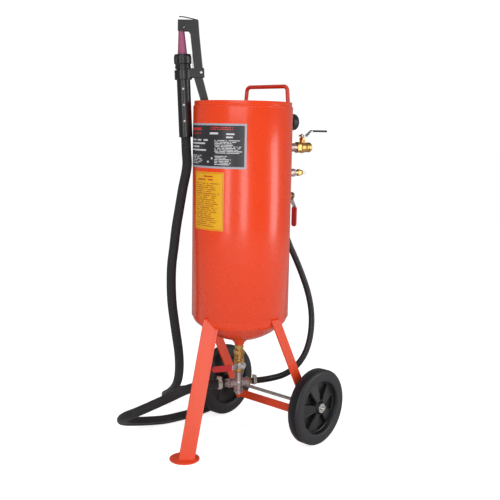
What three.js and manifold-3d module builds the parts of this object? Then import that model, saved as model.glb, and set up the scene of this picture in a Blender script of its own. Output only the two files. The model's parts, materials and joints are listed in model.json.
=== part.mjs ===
// A wheeled pressure-pot abrasive blaster, in millimetres, +Z up.
// The tank stands on one front leg (towards -Y) and a pair of wheels (towards +Y).
// Air enters at the back and splits: part fills the tank, part goes through a hose to the cross
// under the tank, where it picks up abrasive from the sand valve and blows it to the blast gun.
import * as THREE from "three";
import { mergeVertices } from "three/addons/utils/BufferGeometryUtils.js";
import Module from "manifold-3d";

const wasm = await Module();
wasm.setup();

// Gap left between pieces that touch.
const GAP = 0.3;

// Tank: a rolled shell with a dished head pushed in at each end.
const TANK_RADIUS = 159;
const WALL = 3;
const SHELL_BOTTOM = 434;
const SHELL_TOP = 1105;
const HEAD_RADIUS = TANK_RADIUS - WALL - GAP;
const RIM_TOP = 1123;
const TOP_DISH_EDGE = 1082;
const TOP_DISH_BOTTOM = 1036;
const BOTTOM_HEAD_LOW = 347;
const KNUCKLE = 34;

// Filler in the middle of the top dish.
const FILLER_RADIUS = 24;
const FILLER_BORE = 18;
const FILLER_HEIGHT = 20;

// Carrying handle, a bent rod standing in the rim.
const HANDLE_ROD = 6.5;
const HANDLE_Y = 112;
const HANDLE_TOP = 1175;
const HANDLE_HALF = 88;
const HANDLE_FOOT_HALF = 92.5;
const HANDLE_BEND = 15;

// Angle-iron front leg with its foot pad, flat rear legs, crossbar and axle.
const ANGLE = 50;
const ANGLE_WALL = 4;
const FRONT_LEG_LOW = new THREE.Vector3(0, -271, 5);
const FRONT_LEG_HIGH = new THREE.Vector3(0, -166, 440);
const FOOT_Y = -246;
const FOOT_RADIUS = 48;
const FOOT_THICK = 5;
const REAR_LEG_LOW = new THREE.Vector3(166, 194, 62);
const REAR_LEG_HIGH = new THREE.Vector3(158.5, -4.5, 440);
const REAR_LEG_WIDTH = 40;
const REAR_LEG_THICK = 6;
const CROSSBAR_HEIGHT = 28;
const CROSSBAR_THICK = 6;
const CROSSBAR_LOW = 66;
const CROSSBAR_Y = 182;
const AXLE_Y = 154.6;
const AXLE_Z = 127;
const AXLE_RADIUS = 6;

// Wheels: solid rubber tyre on a moulded disc.
const WHEEL_RADIUS = 127;
const WHEEL_WIDTH = 44;
const WHEEL_X = 210.5;
const RIM_RADIUS = 90;
const SPOKES = 5;

// Ball valves, all of one pattern: the flow runs along Z, the stem points along X.
const VALVE_RADIUS = 15.5;
const VALVE_HEX = 18.5;
const VALVE_BORE = 7;
const BALL_RADIUS = 10;
const BALL_CAVITY = 11;
const STEM_RADIUS = 4;
const LEVER_LENGTH = 106;
const LEVER_THICK = 2.5;
const LEVER_RISE = 18;
const LEVER_WIDTH = 15;
const SLEEVE_START = 42;
const SLEEVE_WALL = 1.8;

// Side ports, given by their direction round the tank, their height and their reach from its axis.
const PORT_AZIMUTH = 80;
const GAUGE_Z = 1063;
const GAUGE_RADIUS = 27;
const EXHAUST_Z = 979;
const EXHAUST_REACH = 254;
const RELIEF_Z = 894;
const MANIFOLD_REACH = 216;
const TEE_Z = 866;
const AIR_VALVE_Z = 812;

// Outlet under the tank: sand valve, then a four-way cross.
const SAND_VALVE_Z = 265;
const SAND_STEM_AZIMUTH = -28;
const CROSS_Z = 198;
const CROSS_ARM = 33;
const CROSS_RADIUS = 13.5;

// Hoses.
const BLAST_HOSE_RADIUS = 15.5;
const AIR_HOSE_RADIUS = 10.5;
const BLAST_HOSE_START = 52;
const AIR_HOSE_LOW_START = 44;
const AIR_HOSE_TOP_Z = 750;

// Blast gun, hooked over the rim on the left. Its own Z runs from hose to nozzle, its X to the tank.
const GUN_AZIMUTH = 42.2;
const GUN_PLACE = new THREE.Vector3(-127.6, -129.2, 1008);
const GUN_LEAN = 2.76;
const HOLDER_RADIUS = 21.3;
const CLAMP_LOW = 180;
const CLAMP_HIGH = 210;
const CAP_LOW = 214;
const CAP_HIGH = 258;
const NOZZLE_TIP = 333;
const PIVOT = new THREE.Vector2(57.5, 200);
const LEVER_HALF_WIDTH = 12.5;
const DEADMAN_WALL = 2.2;

// The air hose drops from the air valve, bows out behind the tank and ends on the cross.
const AIR_ROUTE = [
  [0, 216, 749.7], [0, 216, 720], [6, 218, 685], [19, 226, 645], [36, 240, 598], [55, 257, 538],
  [71, 272, 475], [82, 279, 412], [87, 276, 356], [89, 263, 306], [87, 242, 264], [80, 214, 232],
  [70, 181, 211], [60, 147, 201], [51, 117, 198.5], [42, 85, 198], [20.8, 39.1, 198],
];

// The blast hose leaves the cross past the front leg, lies on the floor round the left wheel and
// climbs to the gun.
const BLAST_ROUTE = [
  [-24.6, -46.2, 198], [-52.6, -98.9, 198], [-77, -157, 192], [-96, -216, 175], [-121, -268, 155],
  [-160, -303, 130], [-211, -311, 103], [-258, -291, 74], [-290, -250, 50], [-300, -195, 32],
  [-292, -138, 21], [-276, -85, 16], [-263, -28, 15.8], [-256, 30, 15.8], [-256, 90, 15.8],
  [-264, 150, 15.8], [-288, 205, 15.8], [-331, 246, 15.8], [-390, 258, 15.8], [-444, 236, 15.8],
  [-475, 187, 15.8], [-476, 128, 18], [-449, 76, 29], [-403, 42, 50], [-353, 15, 78],
  [-305, -9, 112], [-263, -34, 152], [-226, -62, 198], [-195, -90, 248], [-173, -115, 300],
  [-161, -135, 352], [-157, -149, 408], [-158, -158, 468], [-159, -161, 531], [-158, -160, 593],
  [-153, -155, 655], [-148, -150, 718], [-141, -143, 780], [-134, -136, 841],
  [-124.4, -126.3, 918.1], [-126, -127.7, 963.1], [-128.3, -129.8, 1028],
];

// Stickers wrapped on the shell: half angle, low edge, high edge.
const LABEL = { half: 47.3, low: 917, high: 1053 };
const SHEET = { half: 22.5, low: 725, high: 905 };
const FRONT_AZIMUTH = -90;
const STICKER_THICK = 0.6;

const RADIANS = Math.PI / 180;

// Finishes.
const finish = (color, roughness, metalness) =>
  new THREE.MeshStandardMaterial({ color, roughness, metalness });
const TANK_PAINT = finish(0xe84820, 0.35, 0);
const HANDLE_PAINT = finish(0xb42814, 0.4, 0);
const LEG_PAINT = finish(0xf05532, 0.5, 0);
const BLACK_RUBBER = finish(0x232325, 0.8, 0);
const BLACK_PLASTIC = finish(0x1e1e20, 0.5, 0);
const BLACK_METAL = finish(0x252527, 0.45, 0.6);
const STEEL = finish(0x9a9490, 0.35, 1);
const NICKEL = finish(0x968c8c, 0.4, 1);
const BRASS = finish(0xbe965a, 0.35, 1);
const RED_VINYL = finish(0xb41e20, 0.45, 0);
const CERAMIC = finish(0x9b5a7d, 0.6, 0);
const LABEL_INK = finish(0x2d2d32, 0.5, 0);
const SHEET_INK = finish(0xf0b41e, 0.5, 0);
const DIAL_INK = finish(0xf2f2ee, 0.6, 0);
const LENS = finish(0xdde6ea, 0.05, 0);

// ---------------------------------------------------------------- shape helpers

// A closed geometry as a manifold solid, turned right side out.
function solidOf(geometry) {
  const bare = geometry.index ? geometry.toNonIndexed() : geometry.clone();
  bare.deleteAttribute("normal");
  bare.deleteAttribute("uv");
  const merged = mergeVertices(bare, 1e-3);
  const corners = merged.index.array;
  const kept = [];
  for (let i = 0; i < corners.length; i += 3) {
    const [a, b, c] = [corners[i], corners[i + 1], corners[i + 2]];
    if (a !== b && b !== c && a !== c) kept.push(a, b, c);
  }
  const make = (triangles) =>
    new wasm.Manifold(
      new wasm.Mesh({
        numProp: 3,
        vertProperties: merged.attributes.position.array,
        triVerts: new Uint32Array(triangles),
      }),
    );
  const solid = make(kept);
  if (solid.volume() > 0) return solid;
  return make(kept.reverse());
}

// A manifold solid as a geometry with flat facets.
function geometryOf(solid) {
  const mesh = solid.getMesh();
  const indexed = new THREE.BufferGeometry();
  indexed.setAttribute("position", new THREE.BufferAttribute(mesh.vertProperties, 3));
  indexed.setIndex(new THREE.BufferAttribute(mesh.triVerts, 1));
  const flat = indexed.toNonIndexed();
  flat.computeVertexNormals();
  return flat;
}

const clean = (geometry) => geometryOf(solidOf(geometry));
const join = (...parts) => geometryOf(parts.map(solidOf).reduce((a, b) => a.add(b)));
const meet = (a, b) => geometryOf(solidOf(a).intersect(solidOf(b)));
const cut = (body, ...tools) =>
  geometryOf(tools.map(solidOf).reduce((a, b) => a.subtract(b), solidOf(body)));

// A solid of revolution about Z from [radius, height] points; a ring's profile closes on itself.
function turned(profile, segments = 20) {
  const points = profile.map(([r, z]) => new THREE.Vector2(r, z));
  const onAxis = profile[0][0] === 0 && profile.at(-1)[0] === 0;
  if (!onAxis) points.push(points[0].clone());
  return new THREE.LatheGeometry(points, segments).rotateX(90 * RADIANS);
}

// A ring about Z.
const ring = (inner, outer, low, high, segments = 16) =>
  turned([[inner, low], [outer, low], [outer, high], [inner, high]], segments);

// A round or hexagonal bar from low to high along Z.
function bar(radius, low, high, segments = 12) {
  const shape = new THREE.CylinderGeometry(radius, radius, high - low, segments);
  return shape.rotateX(90 * RADIANS).translate(0, 0, (low + high) / 2);
}

const hex = (radius, low, high) => bar(radius, low, high, 6);

function box(xs, ys, zs) {
  const size = [xs, ys, zs].map(([low, high]) => high - low);
  const middle = [xs, ys, zs].map(([low, high]) => (low + high) / 2);
  return new THREE.BoxGeometry(...size).translate(...middle);
}

// An outline of [x, y] points raised along Z.
function plate(outline, low, high) {
  const shape = new THREE.Shape(outline.map(([x, y]) => new THREE.Vector2(x, y)));
  const depth = high - low;
  return new THREE.ExtrudeGeometry(shape, { depth, bevelEnabled: false }).translate(0, 0, low);
}

// An outline in the X-Z plane, given thickness from -half to half along Y.
const sidePlate = (outline, half) => plate(outline, -half, half).rotateX(90 * RADIANS);

const alongX = (geometry) => geometry.rotateY(90 * RADIANS);
const alongY = (geometry) => geometry.rotateX(-90 * RADIANS);

// A round tube that follows a curve.
function tube(curve, radius, steps, sides) {
  const section = new THREE.Shape();
  section.absarc(0, 0, radius, 0, 2 * Math.PI);
  const options = { steps, curveSegments: sides / 2, extrudePath: curve };
  return clean(new THREE.ExtrudeGeometry(section, options));
}

// Points of an arc in a plane, from one angle to another.
function arc(cx, cy, radius, from, to, steps) {
  const points = [];
  for (let i = 0; i <= steps; i++) {
    const angle = (from + ((to - from) * i) / steps) * RADIANS;
    points.push([cx + radius * Math.cos(angle), cy + radius * Math.sin(angle)]);
  }
  return points;
}

function piece(parent, name, geometry, material) {
  const mesh = new THREE.Mesh(geometry, material);
  mesh.name = name;
  parent.add(mesh);
  return mesh;
}

// A group whose X points out of the tank in the given direction.
function facing(azimuth, z = 0) {
  const group = new THREE.Group();
  group.rotation.z = azimuth * RADIANS;
  group.position.z = z;
  blaster.add(group);
  return group;
}

const blaster = new THREE.Group();

// ---------------------------------------------------------------- tank

// The dish of a head: a knuckle arc at the skirt, then a shallow arc to the axis, as [radius, drop].
function dish(skirtRadius, knuckle, drop) {
  const lean = 62;
  const edge = arc(skirtRadius - knuckle, 0, knuckle, 0, lean, 3);
  const [r, h] = edge.at(-1);
  const rest = drop - h;
  const crown = (r * r + rest * rest) / (2 * rest);
  const crownPoints = [0.55, 0.15, 0].map((share) => {
    const radius = r * share;
    return [radius, h + rest - crown + Math.sqrt(crown * crown - radius * radius)];
  });
  return [...edge, ...crownPoints];
}

const bottomDrop = SHELL_BOTTOM - BOTTOM_HEAD_LOW;
const bottomDish = dish(HEAD_RADIUS, KNUCKLE, bottomDrop);
const bottomInner = dish(HEAD_RADIUS - WALL, KNUCKLE - WALL, bottomDrop - WALL);
const topInner = dish(HEAD_RADIUS - WALL, KNUCKLE - WALL, TOP_DISH_EDGE - TOP_DISH_BOTTOM);
const topOuter = dish(HEAD_RADIUS, KNUCKLE, TOP_DISH_EDGE - TOP_DISH_BOTTOM + WALL);

const below = (level, points) => points.map(([r, drop]) => [r, level - drop]);

// Keeps a profile clear of the axis, where each head has its port cut.
const offAxis = ([r, z]) => [Math.max(r, 2), z];

// Everything that the bottom head and shell fill, with the gap that welded pieces keep.
const tankSpace = turned([
  [0, SHELL_TOP],
  [TANK_RADIUS + GAP, SHELL_TOP],
  [TANK_RADIUS + GAP, SHELL_BOTTOM - GAP],
  ...below(SHELL_BOTTOM - GAP, dish(HEAD_RADIUS + GAP, KNUCKLE, bottomDrop)),
], 36);

// Everything below the surface of the top dish.
const topDishSpace = turned([
  [0, SHELL_BOTTOM],
  [HEAD_RADIUS, SHELL_BOTTOM],
  [HEAD_RADIUS, TOP_DISH_EDGE],
  ...below(TOP_DISH_EDGE + GAP, topInner),
], 36);

function portHole(azimuth, z, radius) {
  return alongX(bar(radius, TANK_RADIUS - 20, TANK_RADIUS + 20, 16))
    .rotateZ(azimuth * RADIANS)
    .translate(0, 0, z);
}

function buildTank() {
  const shell = cut(
    ring(TANK_RADIUS - WALL, TANK_RADIUS, SHELL_BOTTOM, SHELL_TOP, 36),
    portHole(PORT_AZIMUTH, GAUGE_Z, 7.3),
    portHole(PORT_AZIMUTH, EXHAUST_Z, 13.8),
    portHole(PORT_AZIMUTH, RELIEF_Z, 13.1),
    portHole(90, TEE_Z, 11.3),
  );
  piece(blaster, "tank_shell", shell, TANK_PAINT);

  const topHead = turned([
    [HEAD_RADIUS, RIM_TOP],
    ...below(TOP_DISH_EDGE, topOuter),
    [0, TOP_DISH_BOTTOM],
    ...below(TOP_DISH_EDGE, topInner).reverse().slice(1),
    [HEAD_RADIUS - WALL, RIM_TOP],
  ].map(offAxis), 36);
  const filler = bar(FILLER_RADIUS + GAP, TOP_DISH_BOTTOM - 20, TOP_DISH_BOTTOM + 20, 14);
  piece(blaster, "top_head", cut(topHead, filler), TANK_PAINT);

  const skirt = SHELL_BOTTOM + 22;
  const bottomHead = turned([
    [HEAD_RADIUS, skirt],
    ...below(SHELL_BOTTOM, bottomDish),
    ...below(SHELL_BOTTOM, bottomInner).reverse(),
    [HEAD_RADIUS - WALL, skirt],
  ].map(offAxis), 36);
  const outlet = bar(10, BOTTOM_HEAD_LOW - 20, BOTTOM_HEAD_LOW + 20, 16);
  piece(blaster, "bottom_head", cut(bottomHead, outlet), TANK_PAINT);

  const bossLow = 329;
  const boss = turned([[10, bossLow], [16.5, bossLow], [23, 340], [23, 356], [10, 356]], 14);
  piece(blaster, "outlet_boss", cut(boss, tankSpace), TANK_PAINT);

  const side = (x) => [
    new THREE.Vector3(x * HANDLE_FOOT_HALF, HANDLE_Y, TOP_DISH_BOTTOM),
    new THREE.Vector3(x * HANDLE_FOOT_HALF, HANDLE_Y, RIM_TOP - 8),
  ];
  const handlePath = new THREE.CurvePath();
  const [leftFoot, leftRim] = side(-1);
  const [rightFoot, rightRim] = side(1);
  const leftBend = new THREE.Vector3(-HANDLE_HALF, HANDLE_Y, HANDLE_TOP);
  const rightBend = new THREE.Vector3(HANDLE_HALF, HANDLE_Y, HANDLE_TOP);
  const toward = (a, b) => a.clone().add(b.clone().sub(a).setLength(HANDLE_BEND));
  const leftUp = toward(leftBend, leftRim);
  const leftAcross = toward(leftBend, rightBend);
  const rightUp = toward(rightBend, rightRim);
  const rightAcross = toward(rightBend, leftBend);
  handlePath.add(new THREE.LineCurve3(leftFoot, leftRim));
  handlePath.add(new THREE.LineCurve3(leftRim, leftUp));
  handlePath.add(new THREE.QuadraticBezierCurve3(leftUp, leftBend, leftAcross));
  handlePath.add(new THREE.LineCurve3(leftAcross, rightAcross));
  handlePath.add(new THREE.QuadraticBezierCurve3(rightAcross, rightBend, rightUp));
  handlePath.add(new THREE.LineCurve3(rightUp, rightRim));
  handlePath.add(new THREE.LineCurve3(rightRim, rightFoot));
  const handle = cut(tube(handlePath, HANDLE_ROD, 20, 8), topDishSpace);
  piece(blaster, "carry_handle", handle, HANDLE_PAINT);
}

function buildFiller() {
  const low = TOP_DISH_BOTTOM - 8;
  const high = TOP_DISH_BOTTOM + FILLER_HEIGHT;
  piece(blaster, "filler_collar", ring(FILLER_BORE, FILLER_RADIUS, low, high, 14), TANK_PAINT);
  const gasket = ring(FILLER_BORE, FILLER_RADIUS, high + GAP, high + GAP + 2, 14);
  piece(blaster, "filler_gasket", gasket, BLACK_RUBBER);
  const seat = high + 2 * GAP + 2;
  const cap = join(
    bar(FILLER_BORE - 0.5, seat - 14, seat + 1, 14),
    bar(27, seat, seat + 9, 14),
    alongX(bar(4.5, -34, 34, 12)).translate(0, 0, seat + 16),
    bar(7, seat + 8, seat + 18, 12),
  );
  piece(blaster, "filler_cap", cap, BLACK_METAL);
}

// ---------------------------------------------------------------- legs and wheels

// An angle-iron section with its corner at the origin and its flanges along X and Y.
const angleSection = [
  [0, 0],
  [ANGLE, 0],
  [ANGLE, ANGLE_WALL],
  [ANGLE_WALL, ANGLE_WALL],
  [ANGLE_WALL, ANGLE],
  [0, ANGLE],
];

// A section swept in a straight line and kept level: its origin runs from low to high.
function slanted(section, low, high, turn = 0) {
  const rise = high.z - low.z;
  const bare = plate(section, 0, rise).rotateZ(turn * RADIANS);
  const shear = new THREE.Matrix4().set(
    1, 0, (high.x - low.x) / rise, low.x,
    0, 1, (high.y - low.y) / rise, low.y,
    0, 0, 1, low.z,
    0, 0, 0, 1,
  );
  return bare.applyMatrix4(shear);
}

function buildLegs() {
  const front = slanted(angleSection, FRONT_LEG_LOW, FRONT_LEG_HIGH, 45);
  const aboveFoot = box([-60, 60], [-400, 0], [FOOT_THICK + GAP, 600]);
  piece(blaster, "front_leg", cut(meet(front, aboveFoot), tankSpace), LEG_PAINT);
  const pad = bar(FOOT_RADIUS, 0, FOOT_THICK, 40).translate(0, FOOT_Y, 0);
  piece(blaster, "foot_pad", pad, LEG_PAINT);

  const axleHole = alongX(bar(AXLE_RADIUS + 0.5, -300, 300, 14)).translate(0, AXLE_Y, AXLE_Z);
  const thick = REAR_LEG_THICK / 2;
  const wide = REAR_LEG_WIDTH / 2;
  const flatSection = [[-thick, -wide], [thick, -wide], [thick, wide], [-thick, wide]];
  for (const [side, x] of [["left", -1], ["right", 1]]) {
    const mirror = new THREE.Vector3(x, 1, 1);
    const low = REAR_LEG_LOW.clone().multiply(mirror);
    const high = REAR_LEG_HIGH.clone().multiply(mirror);
    const leg = slanted(flatSection, low, high);
    piece(blaster, `rear_leg_${side}`, cut(leg, tankSpace, axleHole), LEG_PAINT);
  }
  const slope = (REAR_LEG_LOW.x - REAR_LEG_HIGH.x) / (REAR_LEG_HIGH.z - REAR_LEG_LOW.z);
  const rise = CROSSBAR_LOW + CROSSBAR_HEIGHT - REAR_LEG_LOW.z;
  const narrow = REAR_LEG_LOW.x - slope * rise - thick - GAP;
  const crossbar = box(
    [-narrow, narrow],
    [CROSSBAR_Y - CROSSBAR_THICK / 2, CROSSBAR_Y + CROSSBAR_THICK / 2],
    [CROSSBAR_LOW, CROSSBAR_LOW + CROSSBAR_HEIGHT],
  );
  piece(blaster, "crossbar", crossbar, LEG_PAINT);
}

function buildWheels() {
  const half = WHEEL_WIDTH / 2;
  const shaft = alongX(bar(AXLE_RADIUS, -WHEEL_X - 34, WHEEL_X + 34, 16));
  const pinHole = alongY(bar(1.9, -10, 10, 10));
  const pinHoles = [-1, 1].map((x) => pinHole.clone().translate(x * (WHEEL_X + 27), 0, 0));
  const axle = piece(blaster, "axle", cut(shaft, ...pinHoles), STEEL);
  axle.position.set(0, AXLE_Y, AXLE_Z);

  const tyreShape = turned([
    [RIM_RADIUS, -half + 2],
    [RIM_RADIUS + 6, -half],
    [WHEEL_RADIUS - 12, -half],
    [WHEEL_RADIUS, -half + 9],
    [WHEEL_RADIUS, half - 9],
    [WHEEL_RADIUS - 12, half],
    [RIM_RADIUS + 6, half],
    [RIM_RADIUS, half - 2],
  ], 28);

  const rim = RIM_RADIUS - GAP;
  const disc = turned([
    [AXLE_RADIUS + 0.4, -half - 0.5],
    [20, -half - 0.5],
    [20, -10],
    [80, -10],
    [82, -half + 3],
    [rim, -half + 3],
    [rim, half - 3],
    [82, half - 3],
    [80, 6],
    [20, 6],
    [17, half + 0.5],
    [AXLE_RADIUS + 0.4, half + 0.5],
  ], 28);
  const pocket = plate([...arc(0, 0, 30, -12, 12, 1), ...arc(0, 0, 74, 20, -20, 3)].reverse(), -1, 12);
  const pockets = [];
  for (let i = 0; i < SPOKES; i++) {
    pockets.push(pocket.clone().rotateZ((i * 2 * Math.PI) / SPOKES + 18 * RADIANS));
  }
  const discShape = cut(disc, ...pockets);

  for (const [side, x] of [["left", -1], ["right", 1]]) {
    const wheel = new THREE.Group();
    wheel.position.set(x * WHEEL_X, AXLE_Y, AXLE_Z);
    wheel.rotation.y = x * 90 * RADIANS;
    blaster.add(wheel);
    piece(wheel, `tyre_${side}`, tyreShape, BLACK_RUBBER);
    piece(wheel, `wheel_disc_${side}`, discShape, BLACK_PLASTIC);
    const face = half + 1;
    const pin = alongY(bar(1.5, -16, 16, 10)).translate(0, 0, 27);
    const washer = ring(AXLE_RADIUS + GAP, 16, face, 26, 14);
    const retainer = join(cut(washer, bar(AXLE_RADIUS + GAP, 0, 60, 14)), pin);
    piece(wheel, `axle_retainer_${side}`, retainer, STEEL);
  }
}

// ---------------------------------------------------------------- valves

// A ball valve round the origin: before and after are its reaches along -Z and +Z.
function valveBody({ before, after, shoulder, nippleHex = 0 }) {
  const solids = [
    bar(VALVE_RADIUS, -before, after, 14),
    hex(VALVE_HEX, -before + nippleHex, -before + nippleHex + 15),
    bar(VALVE_RADIUS + 2, -BALL_RADIUS - 4, BALL_RADIUS + 1, 14),
    hex(VALVE_HEX - 1.5, after - 12, after),
    alongX(bar(9, 0, shoulder - 7, 14)),
    alongX(hex(10.5, shoulder - 10, shoulder - 1)),
  ];
  const hollows = [
    bar(VALVE_BORE, -before - 1, after + 1, 14),
    new THREE.SphereGeometry(BALL_CAVITY, 12, 8),
    alongX(bar(STEM_RADIUS + GAP, 0, shoulder + 5, 16)),
  ];
  return cut(join(...solids), ...hollows);
}

function valveStem(shoulder) {
  const nutLow = shoulder + LEVER_THICK + 2 * GAP;
  return cut(
    join(
      new THREE.SphereGeometry(BALL_RADIUS, 12, 8),
      alongX(bar(STEM_RADIUS, 0, nutLow + 7, 16)),
      alongX(hex(8, nutLow, nutLow + 5)),
    ),
    bar(VALVE_BORE, -BALL_RADIUS - 2, BALL_RADIUS + 2, 14),
  );
}

// The lever is a cranked strip: a hub round the stem, a ramp, and a grip along Z.
function valveLever(shoulder) {
  const low = shoulder;
  const high = shoulder + LEVER_RISE;
  const t = LEVER_THICK;
  const strip = sidePlate([
    [low, -14],
    [low + t, -14],
    [low + t, 15],
    [high + t, 38],
    [high + t, LEVER_LENGTH],
    [high, LEVER_LENGTH],
    [high, 39],
    [low, 16],
  ], 14);
  const half = LEVER_WIDTH / 2;
  const plan = alongX(plate([
    ...arc(0, 0, 12.5, -125, 125, 12),
    [-24, 9],
    [-36, half],
    ...arc(-LEVER_LENGTH + half, 0, half, 90, 270, 6),
    [-36, -half],
    [-24, -9],
  ], low - 5, high + 10));
  return cut(meet(strip, plan), alongX(bar(STEM_RADIUS + GAP, low - 5, high, 16)));
}

// The dipped sleeve that covers the grip, closed at its end.
function valveSleeve(shoulder) {
  const low = shoulder + LEVER_RISE - GAP;
  const high = shoulder + LEVER_RISE + LEVER_THICK + GAP;
  const half = LEVER_WIDTH / 2 + GAP + SLEEVE_WALL;
  const pocketHalf = LEVER_WIDTH / 2 + GAP;
  const outer = alongX(plate([
    [-SLEEVE_START, half],
    [-SLEEVE_START, -half],
    ...arc(-LEVER_LENGTH + 6, 0, half, 270, 90, 8),
  ], low - SLEEVE_WALL, high + SLEEVE_WALL));
  const pocket = box([low, high], [-pocketHalf, pocketHalf], [0, LEVER_LENGTH + GAP]);
  return cut(outer, pocket);
}

// A whole valve in a group: its lever is turned away from the open position by the given angle.
function buildValve(group, name, options) {
  const { shoulder, turn = 0, sleeve } = options;
  piece(group, `${name}_valve_body`, valveBody(options), BRASS);
  const moving = new THREE.Group();
  moving.rotation.x = turn * RADIANS;
  group.add(moving);
  piece(moving, `${name}_valve_stem`, valveStem(shoulder), BRASS);
  piece(moving, `${name}_lever`, valveLever(shoulder), STEEL);
  piece(moving, `${name}_lever_sleeve`, valveSleeve(shoulder), sleeve);
}

// A worm-drive band clamp round Z with its screw housing on the +X side.
function bandClamp(hoseRadius, width) {
  const inner = hoseRadius + 3 * GAP;
  const outer = inner + 1.6;
  return cut(
    join(
      ring(inner, outer, -width / 2, width / 2, 14),
      box([outer - 1, outer + 7], [-8, 8], [-width / 2 - 1, width / 2 + 1]),
      alongY(bar(3.2, -13, 13, 12)).translate(outer + 4, 0, 0),
    ),
    bar(inner, -width, width, 14),
  );
}

// A hose tail: a hexagon, then a neck that the hose starts against.
const hoseTail = (hexRadius, hexEnd, neckRadius, end, bore) =>
  cut(join(hex(hexRadius, 0, hexEnd), bar(neckRadius, 0, end, 14)), bar(bore, -1, end + 1, 16));

// ---------------------------------------------------------------- side ports

function buildGauge() {
  const group = facing(PORT_AZIMUTH, GAUGE_Z);
  const back = TANK_RADIUS + 34;
  const front = back + 23;
  const inner = GAUGE_RADIUS - 2.5;
  const shell = cut(bar(GAUGE_RADIUS, back, front, 24), bar(inner, back + 3, front + 1, 24));
  const stem = bar(6.8, TANK_RADIUS - WALL + 2 * GAP, back + 1, 16);
  piece(group, "gauge_case", alongX(join(shell, stem)), BLACK_PLASTIC);
  piece(group, "gauge_dial", alongX(bar(inner - GAP, back + 4, back + 6, 24)), DIAL_INK);
  const pointer = join(
    bar(3, back + 6.6, back + 8.2, 12),
    plate([[1.4, -7], [1, 19], [-1, 19], [-1.4, -7]], back + 6.6, back + 7.6).rotateZ(135 * RADIANS),
  );
  piece(group, "gauge_needle", alongX(pointer).rotateX(90 * RADIANS), BLACK_METAL);
  piece(group, "gauge_lens", alongX(bar(inner - GAP, front - 4, front - 2, 24)), LENS);
}

function buildExhaust() {
  const group = facing(PORT_AZIMUTH, EXHAUST_Z);
  const inlet = 30;
  const nippleEnd = EXHAUST_REACH - inlet - GAP;
  const nipple = ring(10, 13.5, TANK_RADIUS - WALL - 4, nippleEnd, 14);
  piece(group, "exhaust_nipple", alongX(nipple), NICKEL);
  const valve = new THREE.Group();
  valve.position.x = EXHAUST_REACH;
  const basis = new THREE.Matrix4().makeBasis(
    new THREE.Vector3(0, 0, 1),
    new THREE.Vector3(0, -1, 0),
    new THREE.Vector3(1, 0, 0),
  );
  valve.quaternion.setFromRotationMatrix(basis);
  group.add(valve);
  const options = { before: inlet, after: 33, shoulder: 36, sleeve: BLACK_RUBBER };
  buildValve(valve, "exhaust", options);
}

function buildRelief() {
  const group = facing(PORT_AZIMUTH, RELIEF_Z);
  const socketEnd = 222;
  const socket = ring(7, 12.8, TANK_RADIUS - WALL - 4, socketEnd, 14);
  piece(group, "relief_socket", alongX(socket), NICKEL);
  const body = cut(
    join(
      bar(9, socketEnd + GAP, 240, 14),
      hex(11.6, 232, 246),
      turned([[0, 244], [9.5, 244], [8, 256], [0, 256]], 14),
    ),
    bar(3, socketEnd - 1, 258, 14),
  );
  piece(group, "relief_valve_body", alongX(body), BRASS);
  const pull = join(
    bar(2.4, 228, 262, 12),
    new THREE.TorusGeometry(5.5, 1, 8, 14).rotateX(90 * RADIANS).translate(0, 0, 266),
  );
  piece(group, "relief_pull_ring", alongX(pull), STEEL);
}

function buildAirInlet() {
  const group = new THREE.Group();
  group.position.set(0, MANIFOLD_REACH, 0);
  blaster.add(group);
  const runHalf = 26;
  const wallReach = MANIFOLD_REACH - TANK_RADIUS + WALL + 4;
  const tee = cut(
    join(
      bar(13, TEE_Z - runHalf, TEE_Z + runHalf, 14),
      bar(15, TEE_Z - runHalf, TEE_Z - runHalf + 9, 14),
      bar(15, TEE_Z + runHalf - 9, TEE_Z + runHalf, 14),
      alongY(bar(10.8, -wallReach, 0, 14)).translate(0, 0, TEE_Z),
      alongY(bar(15, -24, -15, 14)).translate(0, 0, TEE_Z),
    ),
    bar(8, TEE_Z - runHalf - 1, TEE_Z + runHalf + 1, 16),
    alongY(bar(7, -wallReach - 1, 0, 16)).translate(0, 0, TEE_Z),
  );
  piece(group, "air_tee", tee, NICKEL);

  const plugLow = TEE_Z + runHalf + GAP;
  const plug = cut(
    join(
      hex(12.5, plugLow, plugLow + 12),
      bar(6, plugLow, plugLow + 40, 14),
      ring(4, 7.6, plugLow + 19, plugLow + 27, 14),
      ring(4, 7, plugLow + 33, plugLow + 40, 14),
    ),
    bar(3.5, plugLow - 1, plugLow + 42, 14),
  );
  piece(group, "air_inlet_plug", plug, STEEL);

  const valve = new THREE.Group();
  valve.position.z = AIR_VALVE_Z;
  const basis = new THREE.Matrix4().makeBasis(
    new THREE.Vector3(0, 1, 0),
    new THREE.Vector3(1, 0, 0),
    new THREE.Vector3(0, 0, -1),
  );
  valve.quaternion.setFromRotationMatrix(basis);
  group.add(valve);
  const before = TEE_Z - runHalf - GAP - AIR_VALVE_Z;
  const after = 33;
  buildValve(valve, "air", { before, after, shoulder: 36, sleeve: RED_VINYL });

  const tailTop = AIR_VALVE_Z - after - GAP;
  const tailLength = tailTop - AIR_HOSE_TOP_Z - GAP;
  const tail = hoseTail(12, 10, 8.5, tailLength, 5).rotateX(180 * RADIANS);
  piece(group, "air_hose_tail_top", clean(tail.translate(0, 0, tailTop)), BRASS);
  const clamp = bandClamp(AIR_HOSE_RADIUS, 11).rotateZ(90 * RADIANS);
  piece(group, "air_hose_clamp_top", clamp.translate(0, 0, AIR_HOSE_TOP_Z - 12), STEEL);
}

// ---------------------------------------------------------------- outlet under the tank

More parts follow.
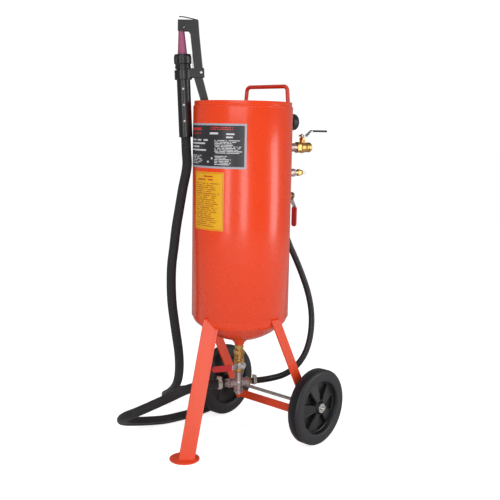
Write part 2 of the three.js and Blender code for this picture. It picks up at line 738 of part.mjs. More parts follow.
function buildOutlet() {
  const valve = facing(SAND_STEM_AZIMUTH, SAND_VALVE_Z);
  const flip = new THREE.Group();
  flip.rotation.x = 180 * RADIANS;
  valve.add(flip);
  const before = 328.7 - SAND_VALVE_Z;
  const after = SAND_VALVE_Z - CROSS_Z - CROSS_ARM - 5 - GAP;
  const options = { before, after, shoulder: 32, nippleHex: 18, turn: -90, sleeve: RED_VINYL };
  buildValve(flip, "sand", options);

  const cross = facing(SAND_STEM_AZIMUTH, CROSS_Z);
  const upper = CROSS_ARM + 5;
  const band = 9;
  const body = cut(
    join(
      bar(CROSS_RADIUS, -CROSS_ARM, upper, 14),
      alongY(bar(CROSS_RADIUS, -CROSS_ARM, CROSS_ARM, 14)),
      bar(CROSS_RADIUS + 2, upper - band, upper, 14),
      bar(CROSS_RADIUS + 2, -CROSS_ARM, -CROSS_ARM + band, 14),
      alongY(bar(CROSS_RADIUS + 2, -CROSS_ARM, -CROSS_ARM + band, 14)),
      alongY(bar(CROSS_RADIUS + 2, CROSS_ARM - band, CROSS_ARM, 14)),
    ),
    bar(9, -CROSS_ARM - 1, upper + 1, 16),
    alongY(bar(9, -CROSS_ARM - 1, CROSS_ARM + 1, 16)),
  );
  piece(cross, "cross_fitting", body, NICKEL);
  const plug = join(
    bar(12, -CROSS_ARM - 5, -CROSS_ARM - GAP, 14),
    box([-5, 5], [-5, 5], [-CROSS_ARM - 9, -CROSS_ARM - 4]),
    bar(8.7, -CROSS_ARM - 1, -20, 14),
  );
  piece(cross, "cleanout_plug", plug, STEEL);

  const blastTail = hoseTail(15.5, 8, 12, BLAST_HOSE_START - CROSS_ARM - 2 * GAP, 7);
  const blastPlace = -CROSS_ARM - GAP;
  piece(cross, "blast_hose_tail", alongY(blastTail.rotateX(180 * RADIANS)), NICKEL)
    .position.y = blastPlace;
  const blastClamp = alongY(bandClamp(BLAST_HOSE_RADIUS, 14).rotateZ(90 * RADIANS));
  piece(cross, "blast_hose_clamp", blastClamp, STEEL).position.y = -BLAST_HOSE_START - 16;

  const airTail = hoseTail(13, 6, 9.5, AIR_HOSE_LOW_START - CROSS_ARM - 2 * GAP, 5);
  piece(cross, "air_hose_tail_low", alongY(airTail), BRASS).position.y = CROSS_ARM + GAP;
  const airClamp = alongY(bandClamp(AIR_HOSE_RADIUS, 11).rotateZ(-90 * RADIANS));
  piece(cross, "air_hose_clamp_low", airClamp, STEEL).position.y = AIR_HOSE_LOW_START + 12;
}

// ---------------------------------------------------------------- blast gun

// The dead-man lever seen from the side: grip end, pivot, arm, then the head over the nozzle.
const leverOutline = [
  [63, 74],
  [87, 74],
  [75.5, 119],
  [60.5, 186],
  [62, 214],
  [55.5, 317],
  [54, 361],
  [-9, 364],
  [-11, 330],
  [22, 328],
  [28, 317],
  [35, 214],
  [33, 187],
  [50.5, 119],
];
const leverHollow = [
  [50, 60],
  [84.5, 60],
  [73, 119],
  [58, 186],
  [59.5, 214],
  [53, 317],
  [51.5, 358.5],
  [-20, 361.5],
  [-20, 300],
  [20, 320],
  [28, 220],
  [20, 187],
  [40, 119],
];

function buildGun() {
  const gun = new THREE.Group();
  gun.position.copy(GUN_PLACE);
  gun.rotation.order = "ZYX";
  gun.rotation.set(0, -GUN_LEAN * RADIANS, GUN_AZIMUTH * RADIANS);
  blaster.add(gun);

  const holderTop = 232;
  const holder = turned([
    [BLAST_HOSE_RADIUS + 0.5, 0],
    [HOLDER_RADIUS, 0],
    [HOLDER_RADIUS, holderTop],
    [9, holderTop],
    [9, 150],
    [BLAST_HOSE_RADIUS + 0.5, 140],
  ], 14);
  piece(gun, "nozzle_holder", holder, BLACK_METAL);

  const ears = [-1, 1].map((y) => {
    const inner = LEVER_HALF_WIDTH + 0.5;
    const ys = y < 0 ? [-inner - 3.5, -inner] : [inner, inner + 3.5];
    return box([12, 66], ys, [CLAMP_LOW + 5, CLAMP_HIGH + 4]);
  });
  const pin = alongY(bar(3, -18, 18, 14)).translate(PIVOT.x, 0, PIVOT.y);
  const clamp = cut(
    join(ring(HOLDER_RADIUS, 27.5, CLAMP_LOW, CLAMP_HIGH, 14), ...ears, pin),
    bar(HOLDER_RADIUS + GAP, CLAMP_LOW - 20, CLAMP_HIGH + 20, 14),
  );
  piece(gun, "gun_clamp", clamp, BLACK_METAL);

  const washerTop = holderTop + 2;
  const cap = turned([
    [HOLDER_RADIUS + GAP, CAP_LOW],
    [25, CAP_LOW],
    [25, CAP_LOW + 8],
    [24, CAP_LOW + 10],
    [24, CAP_LOW + 13],
    [27.5, CAP_LOW + 15],
    [27.5, CAP_HIGH - 4],
    [25.5, CAP_HIGH],
    [15.8, CAP_HIGH],
    [15.8, CAP_HIGH - 11],
    [HOLDER_RADIUS + GAP, CAP_HIGH - 11],
  ], 24);
  piece(gun, "nozzle_cap", cap, BLACK_METAL);
  const nozzle = turned([
    [4, washerTop + GAP],
    [19, washerTop + GAP],
    [19, CAP_HIGH - 12],
    [15.3, CAP_HIGH - 11.5],
    [15, CAP_HIGH],
    [9, NOZZLE_TIP],
    [4, NOZZLE_TIP],
  ], 14);
  piece(gun, "ceramic_nozzle", nozzle, CERAMIC);

  const leaf = sidePlate([
    [52, 360],
    [30, 366],
    [10, 371],
    [-6, 373],
    [-6, 375],
    [10, 373.4],
    [30, 368.6],
    [54, 362],
  ], 6);
  const lever = cut(
    join(sidePlate(leverOutline, LEVER_HALF_WIDTH), leaf),
    sidePlate(leverHollow, LEVER_HALF_WIDTH - DEADMAN_WALL),
    alongY(bar(3.4, -30, 30, 14)).translate(PIVOT.x, 0, PIVOT.y),
  );
  piece(gun, "deadman_lever", lever, BLACK_METAL);
  piece(gun, "lever_seal", bar(9.6, NOZZLE_TIP + 1, 358, 14), BLACK_RUBBER);
}

// ---------------------------------------------------------------- stickers and hoses

function buildSticker(name, { half, low, high }, material) {
  const inner = TANK_RADIUS + GAP;
  const outer = inner + STICKER_THICK;
  const from = FRONT_AZIMUTH - half;
  const to = FRONT_AZIMUTH + half;
  const steps = Math.round(half / 2);
  const outline = [...arc(0, 0, inner, from, to, steps), ...arc(0, 0, outer, to, from, steps)];
  piece(blaster, name, clean(plate(outline, low, high)), material);
}

function buildHose(name, points, radius, steps, sides) {
  const places = points.map(([x, y, z]) => new THREE.Vector3(x, y, z));
  const curve = new THREE.CatmullRomCurve3(places, false, "centripetal");
  piece(blaster, name, tube(curve, radius, steps, sides), BLACK_RUBBER);
}

// Puts the origin on the floor, under the middle of everything but the hoses.
function centreOnFloor() {
  blaster.updateMatrixWorld(true);
  const bounds = new THREE.Box3();
  blaster.traverse((object) => {
    if (object.isMesh && !object.name.endsWith("_hose")) bounds.expandByObject(object, true);
  });
  const middle = bounds.getCenter(new THREE.Vector3());
  blaster.position.set(-middle.x, -middle.y, -bounds.min.z);
}

// ---------------------------------------------------------------- assembly

buildTank();
buildFiller();
buildLegs();
buildWheels();
buildGauge();
buildExhaust();
buildRelief();
buildAirInlet();
buildOutlet();
buildGun();
buildSticker("front_label", LABEL, LABEL_INK);
buildSticker("instruction_sheet", SHEET, SHEET_INK);
buildHose("air_hose", AIR_ROUTE, AIR_HOSE_RADIUS, 28, 8);
buildHose("blast_hose", BLAST_ROUTE, BLAST_HOSE_RADIUS, 48, 8);
centreOnFloor();

export default blaster;
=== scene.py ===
import json
import math

import bmesh
import bpy
from bpy.props import FloatProperty, FloatVectorProperty, IntProperty, PointerProperty
from mathutils import Matrix, Vector

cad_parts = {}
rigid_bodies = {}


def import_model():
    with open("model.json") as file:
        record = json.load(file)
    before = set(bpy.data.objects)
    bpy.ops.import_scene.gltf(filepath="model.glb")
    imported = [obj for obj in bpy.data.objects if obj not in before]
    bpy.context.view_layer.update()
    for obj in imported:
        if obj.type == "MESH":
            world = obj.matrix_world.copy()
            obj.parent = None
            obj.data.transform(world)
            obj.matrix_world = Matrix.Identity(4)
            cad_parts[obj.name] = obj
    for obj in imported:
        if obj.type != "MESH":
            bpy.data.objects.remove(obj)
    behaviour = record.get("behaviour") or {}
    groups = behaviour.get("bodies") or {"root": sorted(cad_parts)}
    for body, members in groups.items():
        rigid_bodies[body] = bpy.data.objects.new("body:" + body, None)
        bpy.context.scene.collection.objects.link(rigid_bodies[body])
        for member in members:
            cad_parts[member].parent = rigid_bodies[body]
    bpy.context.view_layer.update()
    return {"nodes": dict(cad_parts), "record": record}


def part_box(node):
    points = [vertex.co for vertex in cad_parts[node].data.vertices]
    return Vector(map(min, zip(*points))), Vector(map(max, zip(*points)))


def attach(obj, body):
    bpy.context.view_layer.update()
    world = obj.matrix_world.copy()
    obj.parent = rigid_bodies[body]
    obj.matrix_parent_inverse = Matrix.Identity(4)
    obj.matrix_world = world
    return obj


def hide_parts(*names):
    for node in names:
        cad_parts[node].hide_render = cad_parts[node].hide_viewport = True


bl_info = {
    "name": "Wheeled Abrasive Blaster",
    "version": (1, 0, 0),
    "blender": (4, 5, 0),
    "location": "View3D > Sidebar > Blaster",
    "description": "Builds a painted pressure pot on wheels, with its valves, hoses and blast gun",
    "category": "Object",
}

for start_object in list(bpy.data.objects):
    bpy.data.objects.remove(start_object)
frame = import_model()
BODY_OF = {n: body for body, ns in frame["record"]["behaviour"]["bodies"].items() for n in ns}

# Shapes are drawn in millimetres round the tank's axis, and TANK takes them to the frame's metres.
MM = 0.001
SHELL_LOW, SHELL_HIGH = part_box("tank_shell")
AXIS = (SHELL_LOW + SHELL_HIGH) / 2
TANK = Matrix.Translation((AXIS.x, AXIS.y, 0)) @ Matrix.Scale(MM, 4)
TANK_RADIUS = (SHELL_HIGH.x - SHELL_LOW.x) / 2 / MM
SHELL_BOTTOM = SHELL_LOW.z / MM
SHELL_TOP = SHELL_HIGH.z / MM
RIM_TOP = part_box("top_head")[1].z / MM
BOTTOM_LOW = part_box("bottom_head")[0].z / MM

# WALL is the thickness of the tank's sheet, GAP the room left between two pieces that meet,
# KNUCKLE the radius that turns a head's skirt into its dish, and FRONT the bearing in degrees that
# the stickers face.
WALL = 3
GAP = 0.3
HEAD_RADIUS = TANK_RADIUS - WALL - GAP
TOP_DISH_EDGE = 1082
TOP_DISH_BOTTOM = 1036
KNUCKLE = 34
FRONT = -90
TEE_LEVEL = 866
AIR_VALVE_LEVEL = 812
AXLE_BACK, AXLE_LEVEL = 154.6, 127
SAME_SPOT = 1e-7


def turn(degrees, axis):
    return Matrix.Rotation(math.radians(degrees), 4, axis)


def shift(x=0, y=0, z=0):
    return Matrix.Translation((x, y, z))


def axes(x, y, z):
    return Matrix((x, y, z)).transposed().to_4x4()


# ALONG_X and ALONG_Y lay a piece that is drawn up Z along X or Y. PORTS has X out through the side
# ports. MANIFOLD stands on the axis of the air pipe behind the tank. CROSS has its blast hose tail
# on -Y and its air hose tail on +Y. GUN has Z up the gun, from the foot of its holder. A valve's
# frame has the flow along Z and the stem along X.
ALONG_X = turn(90, "Y")
ALONG_Y = turn(-90, "X")
PORTS = TANK @ turn(80, "Z")
MANIFOLD = TANK @ shift(y=216)
CROSS = TANK @ turn(-28, "Z") @ shift(z=198)
GUN = TANK @ shift(-127.6, -129.2, 1008) @ turn(42.2, "Z") @ turn(-2.76, "Y")
VALVES = {
    "exhaust": PORTS @ shift(254, 0, 979) @ axes((0, 0, 1), (0, -1, 0), (1, 0, 0)),
    "air": MANIFOLD @ shift(z=AIR_VALVE_LEVEL) @ axes((0, 1, 0), (1, 0, 0), (0, 0, -1)),
    "sand": TANK @ turn(-28, "Z") @ shift(z=265) @ turn(180, "X"),
}

# The hoses' diameters, and their routes in metres from the tank's axis and the floor.
AIR_DIAMETER = 0.021
BLAST_DIAMETER = 0.031
HOSE_STEP = 0.007
AIR_ROUTE = [
    (0, 0.216, 0.7497), (0, 0.216, 0.720), (0.006, 0.218, 0.685), (0.019, 0.226, 0.645),
    (0.036, 0.240, 0.598), (0.055, 0.257, 0.538), (0.071, 0.272, 0.475), (0.082, 0.279, 0.412),
    (0.087, 0.276, 0.356), (0.089, 0.263, 0.306), (0.087, 0.242, 0.264), (0.080, 0.214, 0.232),
    (0.070, 0.181, 0.211), (0.060, 0.147, 0.201), (0.051, 0.117, 0.1985), (0.042, 0.085, 0.198),
    (0.0208, 0.0391, 0.198),
]
BLAST_ROUTE = [
    (-0.0246, -0.0462, 0.198), (-0.0526, -0.0989, 0.198), (-0.077, -0.157, 0.192),
    (-0.096, -0.216, 0.175), (-0.121, -0.268, 0.155), (-0.160, -0.303, 0.130),
    (-0.211, -0.311, 0.103), (-0.258, -0.291, 0.074), (-0.290, -0.250, 0.050),
    (-0.300, -0.195, 0.032), (-0.292, -0.138, 0.021), (-0.276, -0.085, 0.016),
    (-0.263, -0.028, 0.0158), (-0.256, 0.030, 0.0158), (-0.256, 0.090, 0.0158),
    (-0.264, 0.150, 0.0158), (-0.288, 0.205, 0.0158), (-0.331, 0.246, 0.0158),
    (-0.390, 0.258, 0.0158), (-0.444, 0.236, 0.0158), (-0.475, 0.187, 0.0158),
    (-0.476, 0.128, 0.018), (-0.449, 0.076, 0.029), (-0.403, 0.042, 0.050),
    (-0.353, 0.015, 0.078), (-0.305, -0.009, 0.112), (-0.263, -0.034, 0.152),
    (-0.226, -0.062, 0.198), (-0.195, -0.090, 0.248), (-0.173, -0.115, 0.300),
    (-0.161, -0.135, 0.352), (-0.157, -0.149, 0.408), (-0.158, -0.158, 0.468),
    (-0.159, -0.161, 0.531), (-0.158, -0.160, 0.593), (-0.153, -0.155, 0.655),
    (-0.148, -0.150, 0.718), (-0.141, -0.143, 0.780), (-0.134, -0.136, 0.841),
    (-0.1244, -0.1263, 0.9181), (-0.126, -0.1277, 0.9631), (-0.1283, -0.1298, 1.028),
]


def srgb(red, green, blue):
    """A colour given in steps of 255, as the linear light that the shaders work in."""
    def linear(step):
        share = step / 255
        return share / 12.92 if share <= 0.04045 else ((share + 0.055) / 1.055) ** 2.4
    return tuple(linear(step) for step in (red, green, blue))


def colour(name, red, green, blue):
    return FloatVectorProperty(
        name=name, description=f"Colour of the {name.lower()}", subtype="COLOR",
        min=0, max=1, default=srgb(red, green, blue),
    )


class BlasterSettings(bpy.types.PropertyGroup):
    """What a user would change about the blaster's finish."""
    paint: colour("Tank paint", 246, 66, 6)
    leg_paint: colour("Leg paint", 250, 78, 34)
    handle_paint: colour("Handle paint", 216, 52, 22)
    vinyl: colour("Lever sleeves", 206, 18, 24)
    brass: colour("Brass fittings", 222, 174, 104)
    ceramic: colour("Ceramic nozzle", 166, 84, 120)
    bead: FloatProperty(
        name="Weld bead", description="Radius of the weld beads", unit="LENGTH",
        min=0.0005, max=0.005, default=0.0016,
    )
    segments: IntProperty(
        name="Segments", description="Sides of a large turned piece", min=24, max=256, default=128,
    )


# ------------------------------------------------------------------ shader groups

def add_node(tree, kind, feeds=None, **options):
    """A shader node whose inputs are set to values or joined to the sockets given."""
    node = tree.nodes.new(kind)
    for name, value in options.items():
        setattr(node, name, value)
    for key, value in (feeds or {}).items():
        if isinstance(value, bpy.types.NodeSocket):
            tree.links.new(value, node.inputs[key])
        else:
            node.inputs[key].default_value = value
    return node


def calc(tree, operation, a, b=0.0):
    return add_node(tree, "ShaderNodeMath", {0: a, 1: b}, operation=operation).outputs[0]


def blend_colours(tree, share, a, b):
    feeds = {0: share, 6: a if isinstance(a, bpy.types.NodeSocket) else (*a, 1),
             7: b if isinstance(b, bpy.types.NodeSocket) else (*b, 1)}
    return add_node(tree, "ShaderNodeMix", feeds, data_type="RGBA").outputs[2]


def new_group(name, inputs, outputs):
    """A shader node group, with the sockets that its own nodes read from and put into."""
    tree = bpy.data.node_groups.new(name, "ShaderNodeTree")
    for socket, default in inputs.items():
        made = tree.interface.new_socket(socket, in_out="INPUT", socket_type="NodeSocketFloat")
        made.default_value = default
    for socket in outputs:
        tree.interface.new_socket(socket, in_out="OUTPUT", socket_type="NodeSocketFloat")
    return tree, tree.nodes.new("NodeGroupInput").outputs, tree.nodes.new("NodeGroupOutput").inputs


def make_grain_group():
    """Fine bumps, medium shade patches and broad smudges, from three sizes of noise."""
    tree, given, put = new_group("Surface Grain", {"Scale": 300.0}, ["Height", "Shade", "Smudge"])
    where = add_node(tree, "ShaderNodeTexCoord").outputs["Object"]
    for output, share, detail in (("Height", 1.0, 2.0), ("Shade", 0.25, 4.0), ("Smudge", 0.04, 3.0)):
        scale = calc(tree, "MULTIPLY", given["Scale"], share)
        feeds = {"Vector": where, "Scale": scale, "Detail": detail}
        noise = add_node(tree, "ShaderNodeTexNoise", feeds)
        tree.links.new(noise.outputs["Fac"], put[output])


def make_scuff_group():
    """Sparse worn or dusty patches as a mask."""
    sharpness = 8.0
    inputs = {"Scale": 60.0, "Amount": 0.35}
    tree, given, put = new_group("Scuffs", inputs, ["Mask"])
    where = add_node(tree, "ShaderNodeTexCoord").outputs["Object"]
    feeds = {"Vector": where, "Scale": given["Scale"], "Detail": 6.0}
    broad = add_node(tree, "ShaderNodeTexNoise", feeds)
    threshold = calc(tree, "SUBTRACT", 1.0, given["Amount"])
    above = calc(tree, "SUBTRACT", broad.outputs["Fac"], threshold)
    rise = calc(tree, "MULTIPLY", above, sharpness)
    clamped = add_node(tree, "ShaderNodeClamp", {"Value": rise})
    tree.links.new(clamped.outputs[0], put["Mask"])


def way_along(tree):
    """The two parts of the Along map: U round or across a piece, and V along or up it."""
    places = add_node(tree, "ShaderNodeUVMap", uv_map="Along").outputs[0]
    return add_node(tree, "ShaderNodeSeparateXYZ", {0: places}).outputs


def make_weave_group():
    """Two sets of threads that cross at a slant round a tube: U goes round it, V along it."""
    inputs = {"Threads": 26.0, "Pitch": 0.0042}
    tree, given, put = new_group("Braided Weave", inputs, ["Height", "Shade"])
    parts = way_along(tree)
    around = calc(tree, "MULTIPLY", parts[0], given["Threads"])
    along = calc(tree, "DIVIDE", parts[1], given["Pitch"])
    waves = []
    for operation in ("ADD", "SUBTRACT"):
        angle = calc(tree, "MULTIPLY", calc(tree, operation, around, along), math.pi)
        waves.append(calc(tree, "ABSOLUTE", calc(tree, "SINE", angle)))
    tree.links.new(calc(tree, "MAXIMUM", *waves), put["Height"])
    tree.links.new(calc(tree, "MULTIPLY", *waves), put["Shade"])


def make_print_group():
    """Rows of plain bars in a rectangle of a sticker, like print too small to read."""
    shortest_row, bar_low, bar_high, blank_share = 0.65, 0.3, 0.78, 0.16
    inputs = {"Left": 0.1, "Right": 0.9, "Bottom": 0.1, "Top": 0.9,
              "Rows": 5.0, "Words": 12.0, "Seed": 1.0}
    tree, given, put = new_group("Printed Rows", inputs, ["Mask"])
    parts = way_along(tree)
    across, up = [
        calc(tree, "DIVIDE", calc(tree, "SUBTRACT", part, given[low]),
             calc(tree, "SUBTRACT", given[high], given[low]))
        for part, low, high in ((parts[0], "Left", "Right"), (parts[1], "Bottom", "Top"))
    ]
    rows = calc(tree, "MULTIPLY", up, given["Rows"])
    row = calc(tree, "FLOOR", rows)
    within = calc(tree, "FRACT", rows)
    word = calc(tree, "FLOOR", calc(tree, "MULTIPLY", across, given["Words"]))
    pick = add_node(tree, "ShaderNodeCombineXYZ", {0: word, 1: row, 2: given["Seed"]}).outputs[0]
    chance = add_node(tree, "ShaderNodeTexWhiteNoise", {"Vector": pick}).outputs["Value"]
    line = add_node(tree, "ShaderNodeCombineXYZ", {0: row, 1: given["Seed"]}).outputs[0]
    reach = add_node(tree, "ShaderNodeTexWhiteNoise", {"Vector": line}).outputs["Value"]
    end = calc(tree, "ADD", calc(tree, "MULTIPLY", reach, 1 - shortest_row), shortest_row)
    tests = [("GREATER_THAN", across, 0.0), ("LESS_THAN", across, end),
             ("GREATER_THAN", up, 0.0), ("LESS_THAN", up, 1.0),
             ("GREATER_THAN", within, bar_low), ("LESS_THAN", within, bar_high),
             ("GREATER_THAN", chance, blank_share)]
    mask = calc(tree, *tests[0])
    for test in tests[1:]:
        mask = calc(tree, "MULTIPLY", mask, calc(tree, *test))
    tree.links.new(mask, put["Mask"])


def place_group(tree, name, **values):
    """Puts a group into a finish with the values given, and hands back what it puts out."""
    node = tree.nodes.new("ShaderNodeGroup")
    node.node_tree = bpy.data.node_groups[name]
    for key, value in values.items():
        node.inputs[key].default_value = value
    return node.outputs


# ------------------------------------------------------------------ finishes

def start_finish(name):
    """A new finish, as its node tree and its shader."""
    made = bpy.data.materials.new(f"{name}_finish")
    made.use_nodes = True
    return made.node_tree, made.node_tree.nodes["Principled BSDF"]


def add_bump(tree, shader, height, depth, strength=1.0):
    bump = add_node(tree, "ShaderNodeBump", {"Height": height, "Distance": depth, "Strength": strength})
    tree.links.new(bump.outputs[0], shader.inputs["Normal"])


def finish(name, light, dark, rough, scale, depth=0.00004, metal=0.0, coat=0.0,
           scuff=None, scuff_amount=0.38):
    """A finish with patches between two colours, uneven gloss, fine bumps and, if asked, scuffs."""
    tree, shader = start_finish(name)
    grain = place_group(tree, "Surface Grain", Scale=scale)
    base = blend_colours(tree, grain["Shade"], light, dark)
    if scuff:
        mask = place_group(tree, "Scuffs", Scale=scale * 0.2, Amount=scuff_amount)["Mask"]
        base = blend_colours(tree, mask, base, scuff)
    tree.links.new(base, shader.inputs["Base Color"])
    spread = add_node(tree, "ShaderNodeMapRange", {0: grain["Smudge"], 3: rough[0], 4: rough[1]})
    tree.links.new(spread.outputs[0], shader.inputs["Roughness"])
    shader.inputs["Metallic"].default_value = metal
    shader.inputs["Coat Weight"].default_value = coat
    shader.inputs["Coat Roughness"].default_value = 0.12
    add_bump(tree, shader, grain["Height"], depth)


def shaded(tint, share):
    """A colour made darker."""
    return tuple(c * share for c in tint)


def make_sleeve_finish():
    """Black woven sleeve of the blast hose, with a pale stitched seam along it."""
    seam_place, seam_half, stitches_per_metre, stitch_gap = 0.12, 0.012, 160.0, 0.35
    tree, shader = start_finish("hose_sleeve")
    weave = place_group(tree, "Braided Weave")
    base = blend_colours(tree, weave["Shade"], srgb(6, 6, 7), srgb(36, 36, 39))
    parts = way_along(tree)
    off_seam = calc(tree, "ABSOLUTE", calc(tree, "SUBTRACT", parts[0], seam_place))
    on_seam = calc(tree, "LESS_THAN", off_seam, seam_half)
    stitches = calc(tree, "FRACT", calc(tree, "MULTIPLY", parts[1], stitches_per_metre))
    stitch = calc(tree, "GREATER_THAN", stitches, stitch_gap)
    seam = calc(tree, "MULTIPLY", on_seam, stitch)
    base = blend_colours(tree, seam, base, srgb(112, 112, 116))
    dust = place_group(tree, "Scuffs", Scale=24.0, Amount=0.42)["Mask"]
    base = blend_colours(tree, calc(tree, "MULTIPLY", dust, 0.3), base, srgb(56, 55, 55))
    tree.links.new(base, shader.inputs["Base Color"])
    shader.inputs["Roughness"].default_value = 0.72
    shader.inputs["Sheen Weight"].default_value = 0.08
    add_bump(tree, shader, calc(tree, "ADD", weave["Height"], seam), 0.0006, 0.8)


def frame_mask(tree, inset_u, inset_v, line_u=None, line_v=None):
    """A mask of a sticker's edge, or of a line inset from it."""
    parts = way_along(tree)

    def outside(u_edge, v_edge):
        tests = []
        for part, edge in ((parts[0], u_edge), (parts[1], v_edge)):
            away = calc(tree, "ABSOLUTE", calc(tree, "SUBTRACT", part, 0.5))
            tests.append(calc(tree, "GREATER_THAN", away, 0.5 - edge))
        return calc(tree, "MAXIMUM", *tests)

    edge = outside(inset_u, inset_v)
    if line_u is None:
        return edge
    return calc(tree, "SUBTRACT", outside(line_u, line_v), edge)


def make_sticker_finish(name, ground, border_tint, border, blocks, depth):
    """Printed film: a ground, a border, and blocks of bars as (colour, place, rows, words)."""
    tree, shader = start_finish(name)
    grain = place_group(tree, "Surface Grain", Scale=80.0)
    base = blend_colours(tree, grain["Shade"], ground, shaded(ground, 0.82))
    base = blend_colours(tree, frame_mask(tree, *border), base, border_tint)
    for seed, (tint, (left, right, low, top), rows, words) in enumerate(blocks):
        mask = place_group(tree, "Printed Rows", Left=left, Right=right, Bottom=low, Top=top,
                           Rows=rows, Words=words, Seed=seed + 1.0)["Mask"]
        base = blend_colours(tree, mask, base, tint)
    tree.links.new(base, shader.inputs["Base Color"])
    spread = add_node(tree, "ShaderNodeMapRange", {0: grain["Smudge"], 3: 0.32, 4: 0.45})
    tree.links.new(spread.outputs[0], shader.inputs["Roughness"])
    add_bump(tree, shader, grain["Height"], depth)


def make_lens_finish():
    """Clear glass of the gauge."""
    tree, shader = start_finish("clear_lens")
    grain = place_group(tree, "Surface Grain", Scale=40.0)
    spread = add_node(tree, "ShaderNodeMapRange", {0: grain["Smudge"], 3: 0.02, 4: 0.06})
    tree.links.new(spread.outputs[0], shader.inputs["Roughness"])
    shader.inputs["Transmission Weight"].default_value = 1.0
    shader.inputs["IOR"].default_value = 1.45


def make_finishes(chosen):
    """Every finish, from the colours chosen."""
    make_grain_group()
    make_scuff_group()
    make_weave_group()
    make_print_group()
    paint, legs, handle = tuple(chosen.paint), tuple(chosen.leg_paint), tuple(chosen.handle_paint)
    vinyl, brass, ceramic = tuple(chosen.vinyl), tuple(chosen.brass), tuple(chosen.ceramic)
    finish("tank_paint", paint, shaded(paint, 0.93), (0.24, 0.32), scale=700, depth=0.000012, coat=0.3)
    finish("leg_paint", legs, shaded(legs, 0.86), (0.38, 0.5), scale=900, depth=0.00012, coat=0.2)
    finish("handle_paint", handle, shaded(handle, 0.9), (0.3, 0.4), scale=320, depth=0.00003, coat=0.4)
    finish("black_rubber", srgb(28, 28, 30), srgb(18, 18, 20), (0.55, 0.7), scale=700, depth=0.00008)
    finish("black_metal", srgb(24, 24, 27), srgb(16, 16, 18), (0.3, 0.42), scale=520,
           coat=0.2, scuff=srgb(40, 40, 43), scuff_amount=0.34)
    finish("black_plastic", srgb(26, 26, 29), srgb(17, 17, 19), (0.34, 0.46), scale=600, depth=0.00005)
    finish("zinc_steel", srgb(222, 220, 216), srgb(182, 180, 178), (0.2, 0.34), metal=1.0, scale=420,
           scuff=srgb(120, 116, 112))
    finish("tyre_rubber", srgb(34, 34, 39), srgb(24, 24, 28), (0.4, 0.54), scale=460, depth=0.00006,
           scuff=srgb(50, 50, 54))
    finish("nickel", srgb(206, 192, 190), srgb(160, 148, 146), (0.26, 0.42), metal=1.0, scale=800,
           depth=0.00012, scuff=srgb(130, 120, 118))
    finish("brass", brass, shaded(brass, 0.68), (0.22, 0.38), metal=1.0, scale=520, depth=0.00005,
           scuff=srgb(132, 92, 48), scuff_amount=0.4)
    finish("red_vinyl", vinyl, shaded(vinyl, 0.8), (0.3, 0.42), scale=300, depth=0.00006, coat=0.3)
    finish("ceramic", ceramic, shaded(ceramic, 0.86), (0.5, 0.62), scale=900, depth=0.00008)
    finish("dial_face", srgb(238, 238, 232), srgb(226, 226, 220), (0.5, 0.6), scale=200)
    finish("hose_rubber", srgb(26, 26, 30), srgb(17, 17, 20), (0.32, 0.44), scale=500, depth=0.00005,
           scuff=srgb(52, 52, 55))
    make_sleeve_finish()
    make_lens_finish()
    red, white, brown = srgb(206, 50, 38), srgb(214, 214, 216), srgb(184, 104, 24)
    make_sticker_finish(
        "label_film", srgb(46, 46, 51), srgb(172, 172, 182), (0.024, 0.045), [
            (red, (0.05, 0.49, 0.8, 0.93), 1, 5), (red, (0.05, 0.49, 0.75, 0.79), 1, 30),
            (red, (0.55, 0.95, 0.85, 0.93), 2, 30), (white, (0.54, 0.66, 0.73, 0.82), 1, 3),
            (white, (0.76, 0.88, 0.66, 0.8), 2, 3), (white, (0.05, 0.52, 0.36, 0.66), 4, 11),
            (white, (0.61, 0.95, 0.33, 0.64), 9, 26), (white, (0.05, 0.46, 0.08, 0.29), 6, 20),
            (white, (0.5, 0.59, 0.1, 0.26), 2, 3), (white, (0.61, 0.83, 0.07, 0.29), 6, 20),
        ], 0.00002)
    make_sticker_finish(
        "sheet_film", srgb(250, 186, 16), srgb(222, 92, 20), (0.02, 0.014, 0.034, 0.024), [
            (srgb(206, 74, 20), (0.16, 0.84, 0.84, 0.95), 2, 9),
            (brown, (0.1, 0.92, 0.05, 0.82), 22, 18),
        ], 0.00004)


# ------------------------------------------------------------------ shape helpers

def circle(radius, z, sides):
    """A level ring of points round the axis."""
    steps = [2 * math.pi * i / sides for i in range(sides)]
    return [Vector((radius * math.cos(a), radius * math.sin(a), z)) for a in steps]


def arc(cx, cy, radius, start, end, steps):
    """Points on an arc, from one angle to the other in degrees."""
    angles = [math.radians(start + (end - start) * i / steps) for i in range(steps + 1)]
    return [(cx + radius * math.cos(a), cy + radius * math.sin(a)) for a in angles]


